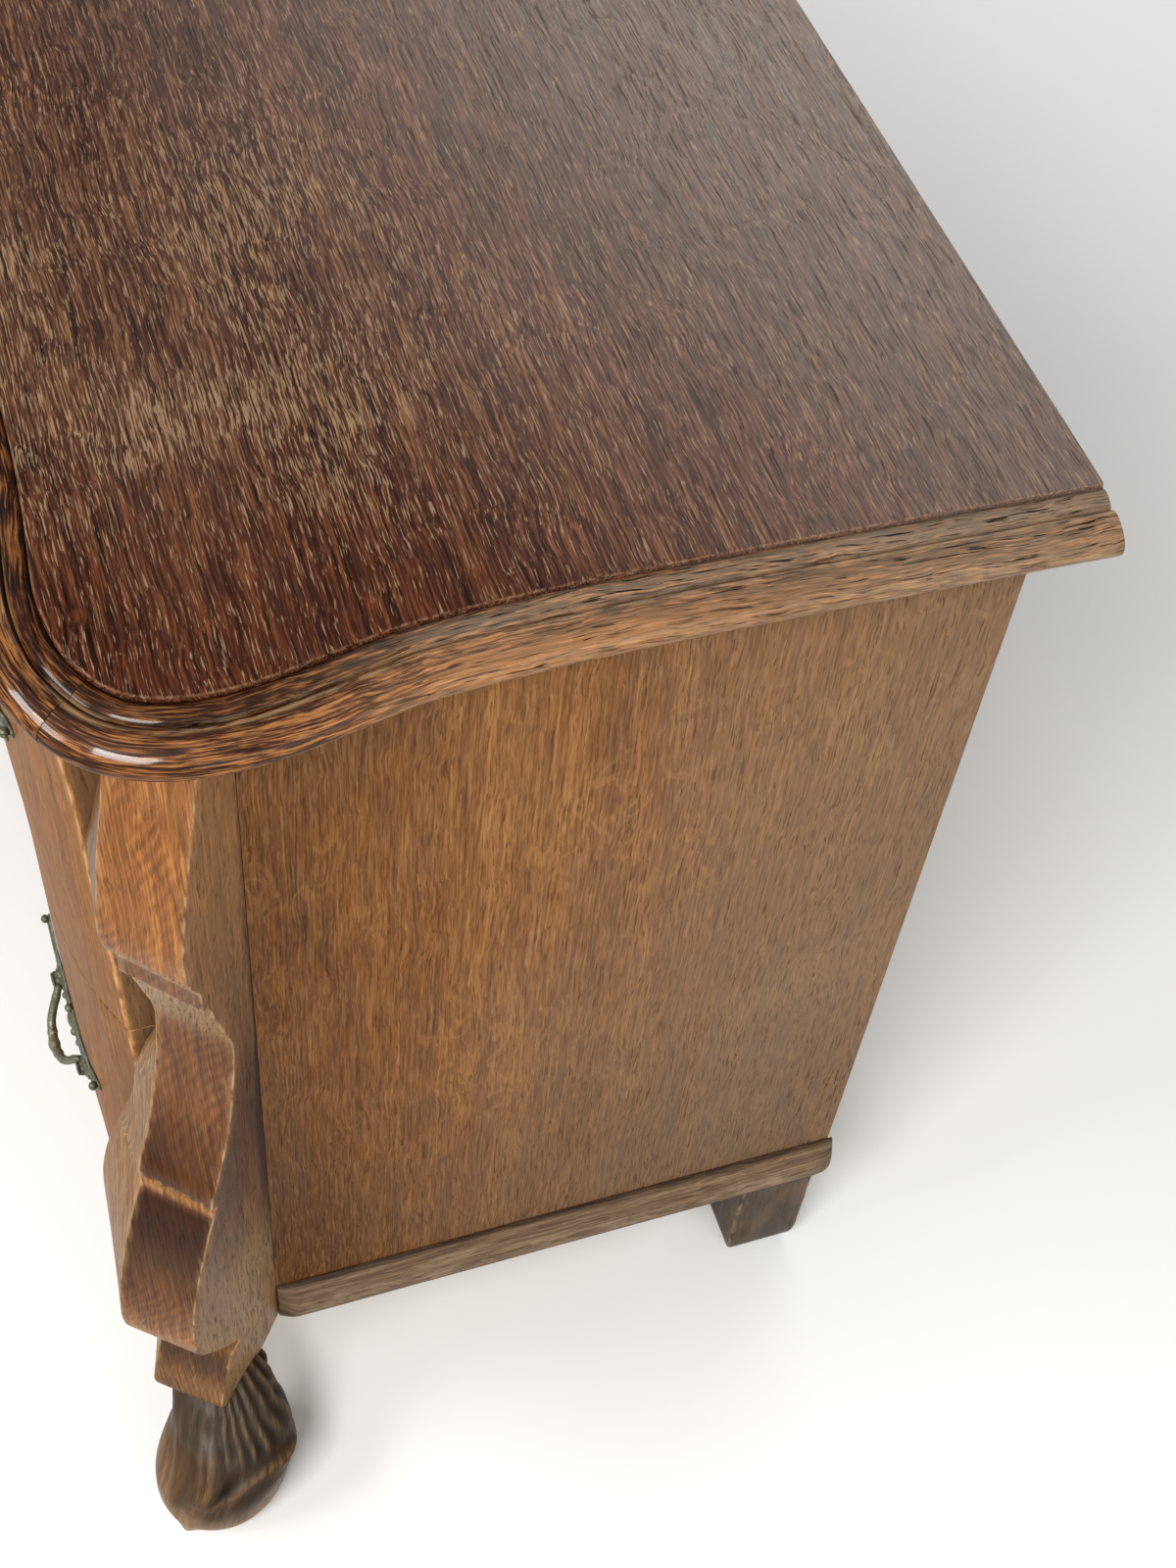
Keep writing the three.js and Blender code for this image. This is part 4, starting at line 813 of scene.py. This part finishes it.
def foot(sign, name, node):
    nq, zs = 176, np.concatenate([[0, 0.6, 1.6, 3], np.linspace(4.6, 97, 84)])
    q = np.arange(nq) / nq * 360 - 150.0
    V, G, W, H, T = [], [], [], [], []
    for z in zs:
        u0, ru, rv, vo = float(foot_c(z)), float(foot_u(z)), float(foot_v(z)), float(foot_o(z))
        mix = smooth(92, 66, z)
        ridges = np.array(RIDGE_TOP) * (1 - mix) + np.array(RIDGE_LOW) * mix
        idx = np.interp(q, ridges, np.arange(len(ridges)))
        inside = smooth(ridges[0] - 6, ridges[0] + 4, q) * (1 - smooth(ridges[-1] - 4, ridges[-1] + 6, q))
        win = smooth(63.5, 72, z) * inside
        rib = 0.5 + 0.5 * np.cos(idx * 2 * np.pi)
        flute = (rib ** 1.2 - 1.0) * 1.9 * win * (0.15 + 0.85 * smooth(4, 34, q))
        zs_line = s_line(q)
        t = z - zs_line
        back = smooth(205, 175, q) * smooth(-95, -60, q)
        ridge = (1.5 * bell(t, 0.3, 2.2) - 1.5 * bell(t, 5.5, 4.2) - 0.8 * bell(t, -4.6, 2.6)) * back * smooth(14, 26, q)
        toe = 2.6 * bell(q, 8, 12) * smooth(42, 50, z) * smooth(80, 68, z) - 1.6 * bell(q, 25, 6) * smooth(44, 52, z) * smooth(74, 66, z) \
            - 1.5 * bell(q, -11, 5) * smooth(34, 46, z) * smooth(78, 66, z)
        side = 1.8 * bell(q, -26 + (60 - z) * 0.7, 7) * smooth(30, 42, z) * smooth(78, 62, z)
        cleft = -2.2 * bell(q, -3 - (z - 20) * 0.1, 5) * smooth(46, 34, z) * smooth(2, 12, z)
        d = flute + ridge + toe + side + cleft
        uu = u0 + np.cos(np.radians(q)) * (ru + d - 0.3) + float(toe_len(z)) * bell(q, 0, 10)
        vv = -vo + np.sin(np.radians(q)) * (rv + d - 0.3)
        xin = -(uu + vv) * S2
        y = SIDE_FRONT - (uu - vv) * S2
        V.append(np.column_stack([HALF - xin, y - Y_SHIFT, np.full(nq, z)]))
        a = np.radians(q) * (ru + rv) / 2
        G.append(np.column_stack([np.full(nq, z) + 700 * sign, a, np.full(nq, 3.0)]))
        left = smooth(0, -34, q) * smooth(-105, -60, q)
        # pale wear on the rim and the ridges; on the flute ridges, the S-ridge and the toe lobe the pale marks are also
        # painted highlights
        W.append(np.clip(0.34 * win * rib ** 4 * (0.25 + 0.75 * smooth(4, 34, q)) + 0.3 * bell(t, 1.0, 1.4) * back * smooth(14, 26, q) + 0.3 * bell(z, 5, 6) + 0.3 * bell(q, 8, 8) * smooth(46, 54, z) * smooth(80, 68, z)
                         + 0.3 * left * bell(q, -32, 5) * smooth(78, 62, z) + 0.2 * left * smooth(80, 40, z) + 0.3 * smooth(46, 14, z) * smooth(-60, -10, q) * smooth(150, 90, q), 0, 1))
        # painted shade in the flutes, beside the S-ridge and in the groove by the toe; lighter on the low pad, the left
        # and the toe
        H.append(-0.3 * win - 0.5 * win * (1 - rib) * (0.25 + 0.75 * smooth(4, 34, q)) - 0.6 * bell(t, 6.5, 5.0) * back * smooth(10, 26, q) - 0.4 * bell(t, -9, 6) * smooth(10, 30, q) * back
                 - 0.4 * bell(q, 25, 7) * smooth(44, 52, z) * smooth(78, 66, z) + 0.75 * smooth(46, 12, z) * smooth(-50, 0, q) * smooth(150, 90, q) + 0.45 * left * smooth(80, 40, z)
                 + 0.2 * bell(q, 4, 9) * smooth(60, 46, z) * smooth(14, 26, z))
        T.append(0.6 * smooth(64, 70, z) + 0.12 * smooth(10, 40, q))
    n = len(zs)
    V = np.concatenate(V)
    if sign < 0:
        V = mirror(V)
    F = grid_faces(n, nq)
    F.append(tuple(reversed(range(nq))))
    F.append(tuple((n - 1) * nq + c for c in range(nq)))
    make(name, V, F, "oak_foot", "carcass", [node], grain=np.concatenate(G), wear_and_highlights=np.concatenate(W), painted_shading_and_patina=np.concatenate(H), greying_and_painted_sheen=np.concatenate(T),
         sharp=50)


foot(1, "carved_foot_right", "foot_front_right")
foot(-1, "carved_foot_left", "foot_front_left")


def rear_foot(sign, name, node):
    V, G, W = [], [], []
    zs = np.concatenate([[0, 0.5, 1.6, 3.5], np.linspace(6, 102.6, 26)])
    ease = table([[0, 9], [4, 4], [12, 1], [24, 0], [103, 0]])
    for z in zs:
        e = float(ease(z))
        x0, x1, y0, y1 = 54 - e, -6 + e, 444 + e, 499 - e
        cs = [np.array(p, float) for p in ((x0, y0), (x1, y0), (x1, y1), (x0, y1))]
        ring = []
        for i in range(4):
            ring += list(arc_corner(cs[i - 1], cs[i], cs[(i + 1) % 4], 3.0 + 0.8 * float(wobble(z * 0.1, i, 4)), 5))
            nx = cs[(i + 1) % 4]
            for t in (0.25, 0.5, 0.75):
                ring.append(cs[i] + (nx - cs[i]) * t)
        ring = np.array(ring)
        V.append(np.column_stack([HALF - ring[:, 0], ring[:, 1] - Y_SHIFT, np.full(len(ring), z)]))
        G.append(np.column_stack([np.full(len(ring), z + 300 * sign), arc_len(ring), np.zeros(len(ring))]))
        w = np.zeros(len(ring))
        for i in range(4):
            w[i * 8:i * 8 + 5] = [0.2, 0.6, 0.9, 0.6, 0.2]
        W.append(w * 0.7)
    k = len(V[0])
    V = np.concatenate(V)
    if sign < 0:
        V = mirror(V)
    F = grid_faces(len(zs), k)
    F.append(tuple(reversed(range(k))))
    F.append(tuple((len(zs) - 1) * k + c for c in range(k)))
    make(name, V, F, "oak_foot", "carcass", [node], grain=np.concatenate(G), wear_and_highlights=np.concatenate(W), sharp=50)


rear_foot(1, "rear_foot_block_right", "foot_rear_right")
rear_foot(-1, "rear_foot_block_left", "foot_rear_left")


# ---- base mouldings ----------------------------------------------------------------------------
def base_moulding(sign, name, node):
    prof = [(-0.35, 103.0), (-5.6, 103.0), (-6.4, 104.0)]
    prof = np.array(prof + [(-6.4, 108.0), (-6.4, 113.2), (-7.2, 115.2)]
                    + [tuple(p) for p in catmull([(-8.6, 116), (-12.2, 119), (-13.8, 124.5), (-13.2, 130.5), (-10.8, 136.5), (-7, 142.4), (-3.4, 146.6), (-0.5, 148)],
                                                 np.linspace(0, 1, 30))] + [(-0.35, 148)])
    ys = np.concatenate([np.linspace(SIDE_FRONT + 0.6, SIDE_FRONT + 14, 10)[:-1], np.linspace(SIDE_FRONT + 14, SIDE_BACK - 9, 80), SIDE_BACK - 9 + np.array([2, 4, 6, 8, 9.5, 10.6, 11.4, 11.9, 12.0])])
    rp = arc_len(prof)
    m = len(prof)
    V, G, W, H = [], [], [], []
    for y in ys:
        k = 1.0
        if y < SIDE_FRONT + 14:
            k = 0.25 + 0.75 * math.sin(math.pi / 2 * min(1.0, (y - SIDE_FRONT - 0.6) / 13.4))
        if y > SIDE_BACK - 9:
            t = (y - (SIDE_BACK - 9)) / 12.0
            k = math.sqrt(max(0.0, 1 - t * t)) * 0.55 + 0.45
        o = -0.35 + (prof[:, 0] + 0.35) * k
        dent = 0.25 * wobble(y * 0.07, rp * 0.1, 3)
        o = np.minimum(o - np.where(prof[:, 0] < -6, dent - 0.25, 0) * -1 * 0, -0.35)
        V.append(np.column_stack([HALF - o, np.full(m, y - Y_SHIFT), prof[:, 1]]))
        G.append(np.column_stack([np.full(m, y), rp, np.full(m, 2.0)]))
        # painted highlight along the front of the torus, carried as wear
        W.append(0.55 * bell(prof[:, 1], 128, 7) * (0.6 + 0.4 * wobble(y * 0.05, 0.3, 6)))
        # painted shade: the dark line at the top against the panel, the notch at 115 mm and the fillet under the torus
        H.append(-0.6 * bell(prof[:, 1], 115, 2.5) - 0.8 * bell(prof[:, 1], 148, 2.2) - 0.25 * (prof[:, 1] < 114))
    V = np.concatenate(V)
    if sign < 0:
        V = mirror(V)
    F = grid_faces(len(ys), m)
    F.append(tuple(range(m)))
    F.append(tuple((len(ys) - 1) * m + c for c in reversed(range(m))))
    make(name, V, F, "oak_side", "carcass", [node], grain=np.concatenate(G), wear_and_highlights=np.clip(np.concatenate(W), 0, 1), painted_shading_and_patina=np.concatenate(H), sharp=38)


base_moulding(1, "base_moulding_strip_right", "base_moulding_right")
base_moulding(-1, "base_moulding_strip_left", "base_moulding_left")


# ---- bowed drawer fronts and apron -----------------------------------------------------------
def bowed(name, node, body, zlo, zhi, x_end=393.0, nx=150, nz=34, eased=1.5, seed=0):
    e = np.array([0, 0.25, 0.6, 1.1, 1.7, 2.6, 4.0])
    xh = np.concatenate([x_end - e, np.linspace(x_end - 8, 0, nx // 2)])
    xs = np.concatenate([-xh[:-1], xh[::-1]])
    ez = np.array([0, 0.25, 0.6, 1.1, 1.7, 2.6, 4.0])
    tz = []

    def inset(d):
        d = np.clip(d, 0, eased)
        return eased - np.sqrt(np.maximum(eased ** 2 - (eased - d) ** 2, 0))

    V, G, W, H, T = [], [], [], [], []
    lo, hi = zlo(xs), zhi(xs)
    h = hi - lo
    params = []
    for v in ez:
        params.append(("lo", v))
    for t in np.linspace(0, 1, nz)[1:-1]:
        params.append(("mid", t))
    for v in ez[::-1]:
        params.append(("hi", v))
    for kind, v in params:
        if kind == "lo":
            z = lo + v
            dz = np.full(len(xs), v)
        elif kind == "hi":
            z = hi - v
            dz = np.full(len(xs), v)
        else:
            z = lo + 5 + (h - 10) * v
            dz = np.full(len(xs), 5.0)
        dx = x_end - np.abs(xs)
        yf = front_y(xs, z) + inset(dz) + inset(dx)
        yb = front_back(xs)
        # the end faces carry two extra columns just behind the arris
        end = np.array([0.7, 2.2])
        ye = [yf[-1] + end, (yf[0] + end)[::-1]]
        ex = [np.full(2, xs[-1]), np.full(2, xs[0])]
        ez_r = [np.full(2, z[-1]), np.full(2, z[0])]
        V.append(np.column_stack([np.concatenate([xs, ex[0], xs[::-1], ex[1]]), np.concatenate([yf, ye[0], yb[::-1], ye[1]]) - Y_SHIFT,
                                  np.concatenate([z, ez_r[0], z[::-1], ez_r[1]])]))
        a = arc_len(np.column_stack([xs, yf]))
        a = a - a[len(a) // 2]
        G.append(np.column_stack([V[-1][:, 2] + seed * 500, np.concatenate([a, a[-1] + end, a[::-1], a[0] - end[::-1]]),
                                  np.concatenate([np.zeros(len(xs)), end * 0.9, np.full(len(xs), 20.0), end[::-1] * 0.9])]))
        w = 0.8 * bell(dx, 0.9, 0.9) * (0.75 + 0.25 * wobble(z * 0.06, 0.2, seed)) + 0.15 * bell(dz, 0.7, 0.8)
        W.append(np.concatenate([w, [w[-1] * 0.6, 0], np.zeros(len(xs)), [0, w[0] * 0.6]]))
        # painted shade along the top and bottom edges and on the end faces and the back, which are also greyed
        s = -0.3 * smooth(3.0, 0, dz)
        H.append(np.concatenate([s, [-0.2, -0.35], s * 0 - 0.45, [-0.35, -0.2]]))
        T.append(np.concatenate([s * 0, [0.4, 0.6], s * 0 + 0.6, [0.6, 0.4]]))
    m = len(xs)
    k = 2 * m + 4
    n = len(params)
    F = grid_faces(n, k)
    for r in (0, n - 1):
        for c in range(1, m - 2):
            F.append((r * k + c, r * k + c + 1, r * k + 2 * m - c, r * k + 2 * m + 1 - c))
        F.append(tuple(r * k + i for i in (m - 2, m - 1, m, m + 1, m + 2, m + 3)))
        F.append(tuple(r * k + i for i in (0, 1, 2 * m, 2 * m + 1, 2 * m + 2, 2 * m + 3)))
    make(name, np.concatenate(V), F, "oak_front", body, [node], grain=np.concatenate(G), wear_and_highlights=np.clip(np.concatenate(W), 0, 1), painted_shading_and_patina=np.concatenate(H),
         greying_and_painted_sheen=np.concatenate(T), sharp=42)


const = lambda v: (lambda x: np.full(np.shape(x), float(v)))
bowed("lower_drawer_bowed_front", "lower_drawer_front", "lower_drawer", const(152), const(451.2), seed=1)
bowed("upper_drawer_bowed_front", "upper_drawer_front", "upper_drawer", const(452.4), const(758.5), seed=3)
drop = table([[36, 96], [60, 97], [90, 104], [130, 121], [190, 127], [250, 122], [310, 109], [360, 99], [400, 95], [430, 94]])
bowed("shaped_apron", "apron_front", "carcass", lambda x: drop(HALF - np.abs(x)), const(150.8), x_end=393.6, nz=12, eased=2.2, seed=6)

# ---- handles -----------------------------------------------------------------------------------
HANDLE_X = 262.0
HANDLE_Z = {"lower_drawer": 263.0, "upper_drawer": 628.0}
POST_HALF, PIVOT_OUT, POST_OUT, POST_R = 35.5, 4.3, 7.6, 4.4
PLATE_HALF = [[0, 17], [4, 20.5], [8, 18], [13, 13.5], [19, 12.5], [25, 16], [31, 20], [37, 20], [42, 17], [46, 18.5], [52, 23],
              [58, 27.5], [64, 29.5], [69, 28], [70, 24.5], [66, 22.5], [60, 20.5], [54, 15], [49, 9], [46, 3], [47, -5], [43, -10], [36, -12.5],
              [29, -10], [24, -4.5], [17, -4], [10, -9], [5, -14], [0, -16]]
PLATE_OUT = PLATE_HALF + [[-x, z] for x, z in PLATE_HALF[1:-1][::-1]]


def handle_place(z0):
    a = math.atan2(float(front_y(HANDLE_X + 60, z0 + 5) - front_y(HANDLE_X - 60, z0 + 5)), 120)
    off = 1e9
    for px, pz in PLATE_OUT + [[0, 0], [20, 5], [-20, 5], [35, 5], [-35, 5]]:
        X = HANDLE_X + px * math.cos(a)
        off = min(off, float(front_y(X, z0 + pz)) - Y_SHIFT - px * math.sin(a))
    return a, off - 0.45


def local_to_world(P, a, y0, z0):
    P = np.asarray(P, float)
    c, s = math.cos(a), math.sin(a)
    return np.column_stack([HANDLE_X + P[:, 0] * c - P[:, 1] * s, y0 + P[:, 0] * s + P[:, 1] * c, z0 + P[:, 2]])


def merge(parts):
    """Joins (V, F, wear, shade) lists."""
    V, F, W, H = [], [], [], []
    n = 0
    for v, f, w, h in parts:
        V.append(v)
        F += [tuple(i + n for i in face) for face in f]
        W.append(np.broadcast_to(w, (len(v),)))
        H.append(np.broadcast_to(h, (len(v),)))
        n += len(v)
    return np.concatenate(V), F, np.concatenate(W), np.concatenate(H)


def lathe(cx, cz, prof, sides=20, ribs=0, rib_h=0.0):
    """Turned boss whose axis points out of the drawer; prof: (radius, out)."""
    V = []
    q = np.arange(sides) / sides * 2 * np.pi
    for r, o in prof:
        rr = r + (rib_h * np.cos(q * ribs) if ribs and r > 3 else 0)
        V.append(np.column_stack([cx + rr * np.cos(q), np.full(sides, -o), cz + rr * np.sin(q)]))
    F = grid_faces(len(prof), sides)
    F.append(tuple(reversed(range(sides))))
    F.append(tuple((len(prof) - 1) * sides + i for i in range(sides)))
    r = np.array([p[0] for p in prof])
    W = np.repeat(np.clip(0.5 * (np.gradient(r) < 0), 0, 1), sides)
    H = np.repeat(np.where(np.arange(len(prof)) % 3 == 2, -0.5, 0.0), sides)
    return np.concatenate(V), F, W, H


def ball(c, r, n=10, m=14):
    V = []
    for i in range(n + 1):
        t = math.pi * (i + 0.02) / (n + 0.04)
        for j in range(m):
            q = 2 * math.pi * j / m
            V.append((c[0] + r * math.sin(t) * math.cos(q), c[1] - r * math.cos(t) * 0.9, c[2] + r * math.sin(t) * math.sin(q)))
    F = grid_faces(n + 1, m)
    F.append(tuple(reversed(range(m))))
    F.append(tuple(n * m + i for i in range(m)))
    return np.array(V), F, 0.35, 0.0


def plate(dr, side):
    z0 = HANDLE_Z[dr]
    a, y0 = handle_place(z0)
    half_n = 96
    H0 = catmull(PLATE_HALF, np.linspace(0, 1, half_n))
    out = np.concatenate([H0, mirror(H0[1:-1][::-1])])
    m = len(out)
    up = table([[0, 20], [19, 12.5], [31, 20], [42, 17], [58, 27.5], [70, 28.5]])
    lo = table([[0, -16], [17, -4], [24, -4.5], [36, -12.5], [46, -3], [54, 15], [66, 22.5], [70, 25]])
    sx = np.sign(out[:, 0]) * np.clip(np.abs(out[:, 0]) * 0.94, 0, 66)
    sz = 0.5 * (up(np.abs(sx)) + lo(np.abs(sx)))
    spine = np.column_stack([sx, sz])
    s = arc_len(np.concatenate([out, out[:1]]))[:-1]
    rings = []
    W, Hh = [], []
    levels = [(0, 0.0), (0, 0.7), (0.05, 1.15), (0.14, 1.4), (0.26, 1.1), (0.42, 1.7), (0.62, 2.3), (0.82, 2.75), (1.0, 2.95)]
    for t, h in levels:
        p = out * (1 - t) + spine * t
        hh = h + (0.35 * np.sin(s * 2 * np.pi / 6.2) * min(1, 4 * t * (1 - t)) if 0 < t < 1 else 0)
        # follow the wood, not a flat plane
        c, sn = math.cos(a), math.sin(a)
        X = HANDLE_X + p[:, 0] * c
        wood = front_y(X, z0 + p[:, 1]) - Y_SHIFT
        flat = y0 + p[:, 0] * sn
        lift = np.minimum(wood - flat - 0.35, 6.0)
        rings.append(np.column_stack([p[:, 0], lift - hh, p[:, 1]]))
        W.append(np.full(m, 0.5 if t in (0.05, 0.14) else (0.3 if t > 0.8 else 0.0)))
        Hh.append(np.full(m, -0.6 if 0.2 < t < 0.3 else (-0.2 if h < 0.5 else 0.0)))
    V = np.concatenate(rings)
    F = grid_faces(len(levels), m)
    F.append(tuple(range(m)))
    parts = [(V, F, np.concatenate(W), np.concatenate(Hh))]
    for sg in (-1, 1):
        parts.append(lathe(sg * POST_HALF, 0, [(9.2, -1.2), (9.2, 0.8), (8.6, 1.9), (7.4, 2.2), (7.0, 2.0), (6.6, 2.9), (5.4, 3.5), (4.6, 3.3), (4.4, 4.6), (4.4, 5.8),
                                               (4.9, 6.3), (4.5, 7.0), (3.2, 7.45), (1.2, 7.6)], 28, 12, 0.35))
        parts.append(ball((sg * 66.5, -1.6, 26.6), 3.0))
        parts.append(ball((sg * 19, -1.7, 3.5), 2.4))
    parts.append(ball((0, -2.2, 17.5), 3.1))
    parts.append(ball((0, -2.0, -13.2), 2.7))
    parts.append(lathe(0, 2.5, [(7.6, -0.5), (7.6, 2.2), (6.4, 3.2), (4.6, 3.0), (3.8, 3.9), (2.2, 4.5), (0.6, 4.7)], 24, 8, 0.5))
    V, F, W, Hh = merge(parts)
    V = local_to_world(V, a, y0, z0)
    if side == "left":
        V = mirror(V)
    make(dr + "_cast_plate_" + side, V, F, "brass", dr, [dr + "_plate_" + side], wear_and_highlights=W, painted_shading_and_patina=Hh, sharp=45, weld=0.02)


def bail(dr, side):
    z0 = HANDLE_Z[dr]
    a, y0 = handle_place(z0)
    h, R, P = POST_HALF, POST_R, PIVOT_OUT
    kn = [[h + R + 1.2, -P, 0], [h, -P, 0], [h - R - 0.9, -P, 0], [h - R - 3, -P - 0.8, -1], [h - R - 6, -P - 3, -5],
          [h - 14.5, -P - 6.6, -11.5], [h - 20, -P - 9.6, -16.6], [h - 27, -P - 10.95, -20.4], [0, -P - 11.8, -22]]
    kn = kn + [[-x, y, z] for x, y, z in kn[:-1][::-1]]
    u = np.linspace(0, 1, 121)
    path = catmull(kn, u)
    s = np.abs(u - 0.5) * 2
    rad = np.where(s > 0.72, 1.4 + 0.7 * smooth(0.8, 0.72, s), 2.3 + 0.8 * np.cos(s * math.pi / 2) ** 2)
    rad = rad + 0.9 * bell(s, 0.0, 0.05) + 0.5 * bell(s, 0.13, 0.022) + 0.45 * bell(s, 0.66, 0.03) + 0.3 * bell(s, 0.5, 0.05)
    rad = np.where(s > 0.98, np.minimum(rad, 1.9), rad)
    T = tube(path, rad, 16)
    n, k = T.shape[:2]
    F = grid_faces(n, k)
    F.append(tuple(range(k)))
    F.append(tuple((n - 1) * k + c for c in reversed(range(k))))
    wear_and_highlights = np.repeat(0.25 + 0.5 * bell(s, 0, 0.3), k)
    painted_shading_and_patina = np.repeat(-0.5 * bell(s, 0.085, 0.02) - 0.5 * bell(s, 0.17, 0.02), k)
    V = local_to_world(T.reshape(-1, 3), a, y0, z0)
    if side == "left":
        V = mirror(V)
    make(dr + "_cast_bail_" + side, V, F, "brass", dr.split("_")[0] + "_bail_" + side, [dr + "_bail_" + side], wear_and_highlights=wear_and_highlights, painted_shading_and_patina=painted_shading_and_patina, sharp=50)


def ray_r(poly, th, centre):
    """Radius at which a ray from the centre leaves a star-shaped polygon."""
    d = np.array([math.cos(th), math.sin(th)])
    best = 0
    for i in range(len(poly)):
        p = np.array(poly[i], float) - centre
        e = np.array(poly[(i + 1) % len(poly)], float) - centre - p
        den = d[0] * e[1] - d[1] * e[0]
        if abs(den) < 1e-9:
            continue
        t = (p[0] * e[1] - p[1] * e[0]) / den
        w = (p[0] * d[1] - p[1] * d[0]) / den
        if t > 0 and -1e-6 <= w <= 1 + 1e-6:
            best = max(best, t)
    return best


def key_plate(dr, lock):
    kz = (lock[0] + lock[1]) / 2 - 4
    kp = [[0, 27], [5, 22], [11, 20], [9, 13], [14, 6], [13, -3], [8, -9], [10, -16], [5, -21], [0, -28]]
    kout = kp + [[-x, z] for x, z in kp[1:-1][::-1]]
    hole = [[-1.3, -7], [1.3, -7], [1.5, 0.5], [2.9, 2.4], [2.6, 4.8], [0, 6.4], [-2.6, 4.8], [-2.9, 2.4], [-1.5, 0.5]]
    c = np.array([0, 0.5])
    n = 144
    th = np.arange(n) / n * 2 * np.pi
    ro = np.array([ray_r(kout, t, c) for t in th])
    ro = (np.roll(ro, 1) + 2 * ro + np.roll(ro, -1)) / 4
    ri = np.array([ray_r(hole, t, c) for t in th])
    V, W, H = [], [], []
    levels = [(1, 0), (1, 0.7), (0.97, 1.2), (0.9, 1.5), (0.8, 1.15), (0.66, 1.5), (0.45, 1.95), (0.22, 1.9), (0.05, 1.6), (0, 1.2), (0, 0)]
    for t, h in levels:
        r = ri + (ro - ri) * t
        x = r * np.cos(th)
        z = c[1] + r * np.sin(th)
        hh = h + (0.3 * np.sin(th * 14) * min(1, 4 * t * (1 - t)) if 0 < t < 1 else 0)
        y = front_y(x, kz + z) - Y_SHIFT - 0.35 - hh
        V.append(np.column_stack([x, y, kz + z]))
        W.append(np.full(n, 0.45 if t in (0.9, 0.97) else 0.1))
        H.append(np.full(n, -0.6 if t in (0.8, 0.05) else 0.0))
    L = len(levels)
    F = grid_faces(L, n)
    F += [((L - 1) * n + i, (L - 1) * n + (i + 1) % n, (i + 1) % n, i) for i in range(n)]
    make(dr + "_cast_key_plate", np.concatenate(V), F, "brass", dr, [dr + "_key_plate"], wear_and_highlights=np.concatenate(W), painted_shading_and_patina=np.concatenate(H), sharp=45)


for dr, lock in (("lower_drawer", (389, 439.5)), ("upper_drawer", (704, 755))):
    for side in ("right", "left"):
        plate(dr, side)
        bail(dr, side)
    key_plate(dr, lock)

# ---- floor, light, camera -------------------------------------------------------------------------
fm = Nodes("pale_floor")
tc = fm.t.nodes.new("ShaderNodeTexCoord")
fn = fm.noise(tc.outputs["Object"], 1.5, 3.0, 0.5)
fm.put(fm.bsdf.inputs["Base Color"], fm.ramp(fn, [(0.3, (0.83, 0.83, 0.825, 1)), (0.7, (0.87, 0.87, 0.865, 1))]))
fm.bsdf.inputs["Roughness"].default_value = 0.85
fm.bsdf.inputs["Specular IOR Level"].default_value = 0.2
me = bpy.data.meshes.new("studio_floor")
me.from_pydata([(-9, -9, 0), (9, -9, 0), (9, 9, 0), (-9, 9, 0)], [], [(0, 1, 2, 3)])
me.materials.append(fm.mat)
floor = bpy.data.objects.new("studio_floor", me)
bpy.context.scene.collection.objects.link(floor)

world = bpy.data.worlds.new("studio")
world.use_nodes = True
bg = world.node_tree.nodes.get("Background") or world.node_tree.nodes.new("ShaderNodeBackground")
bg.inputs[0].default_value = (1.0, 0.99, 0.975, 1)
bg.inputs[1].default_value = 0.3
bpy.context.scene.world = world


def area(name, loc, target, size, power, color=(1, 1, 1)):
    d = bpy.data.lights.new(name, "AREA")
    d.shape = "RECTANGLE"
    d.size, d.size_y = size
    d.energy = power
    d.color = color
    o = bpy.data.objects.new(name, d)
    o.location = loc
    v = np.array(target, float) - np.array(loc, float)
    from mathutils import Vector

    o.rotation_euler = Vector(v).to_track_quat("-Z", "Y").to_euler()
    bpy.context.scene.collection.objects.link(o)
    return o


area("window_front", (0.1, -2.75, 2.3), (0.3, 0, 0.5), (1.5, 0.7), 50, (1.0, 0.985, 0.96))
area("window_corner", (1.9, -1.6, 2.9), (0.43, -0.2, 0.79), (1.55, 0.9), 104, (1.0, 0.99, 0.97))
area("soft_side", (2.9, 0.5, 1.5), (0.2, 0, 0.4), (1.8, 1.4), 24, (1.0, 0.98, 0.95))
area("soft_back", (-2.2, 1.9, 2.1), (0, 0, 0.7), (2.4, 1.4), 28, (0.98, 0.985, 1.0))

cam_d = bpy.data.cameras.new("photo_camera")
cam_d.sensor_width = 36
cam_d.sensor_fit = "AUTO"
cam_d.lens = 50.625
cam_d.clip_start = 0.02
cam_d.clip_end = 60
cam = bpy.data.objects.new("photo_camera", cam_d)
bpy.context.scene.collection.objects.link(cam)
from mathutils import Matrix

Rm = Matrix(((0.3156, -0.7732, 0.5502), (0.9456, 0.2075, -0.2507), (0.0797, 0.5994, 0.7965)))
Rm = Rm.to_quaternion().normalized().to_matrix()
cam.matrix_world = Matrix.Translation((1.048, -0.25826, 1.5416)) @ Rm.to_4x4()
bpy.context.scene.camera = cam
bpy.context.scene.view_settings.view_transform = "Standard"
bpy.context.scene.view_settings.look = "None"
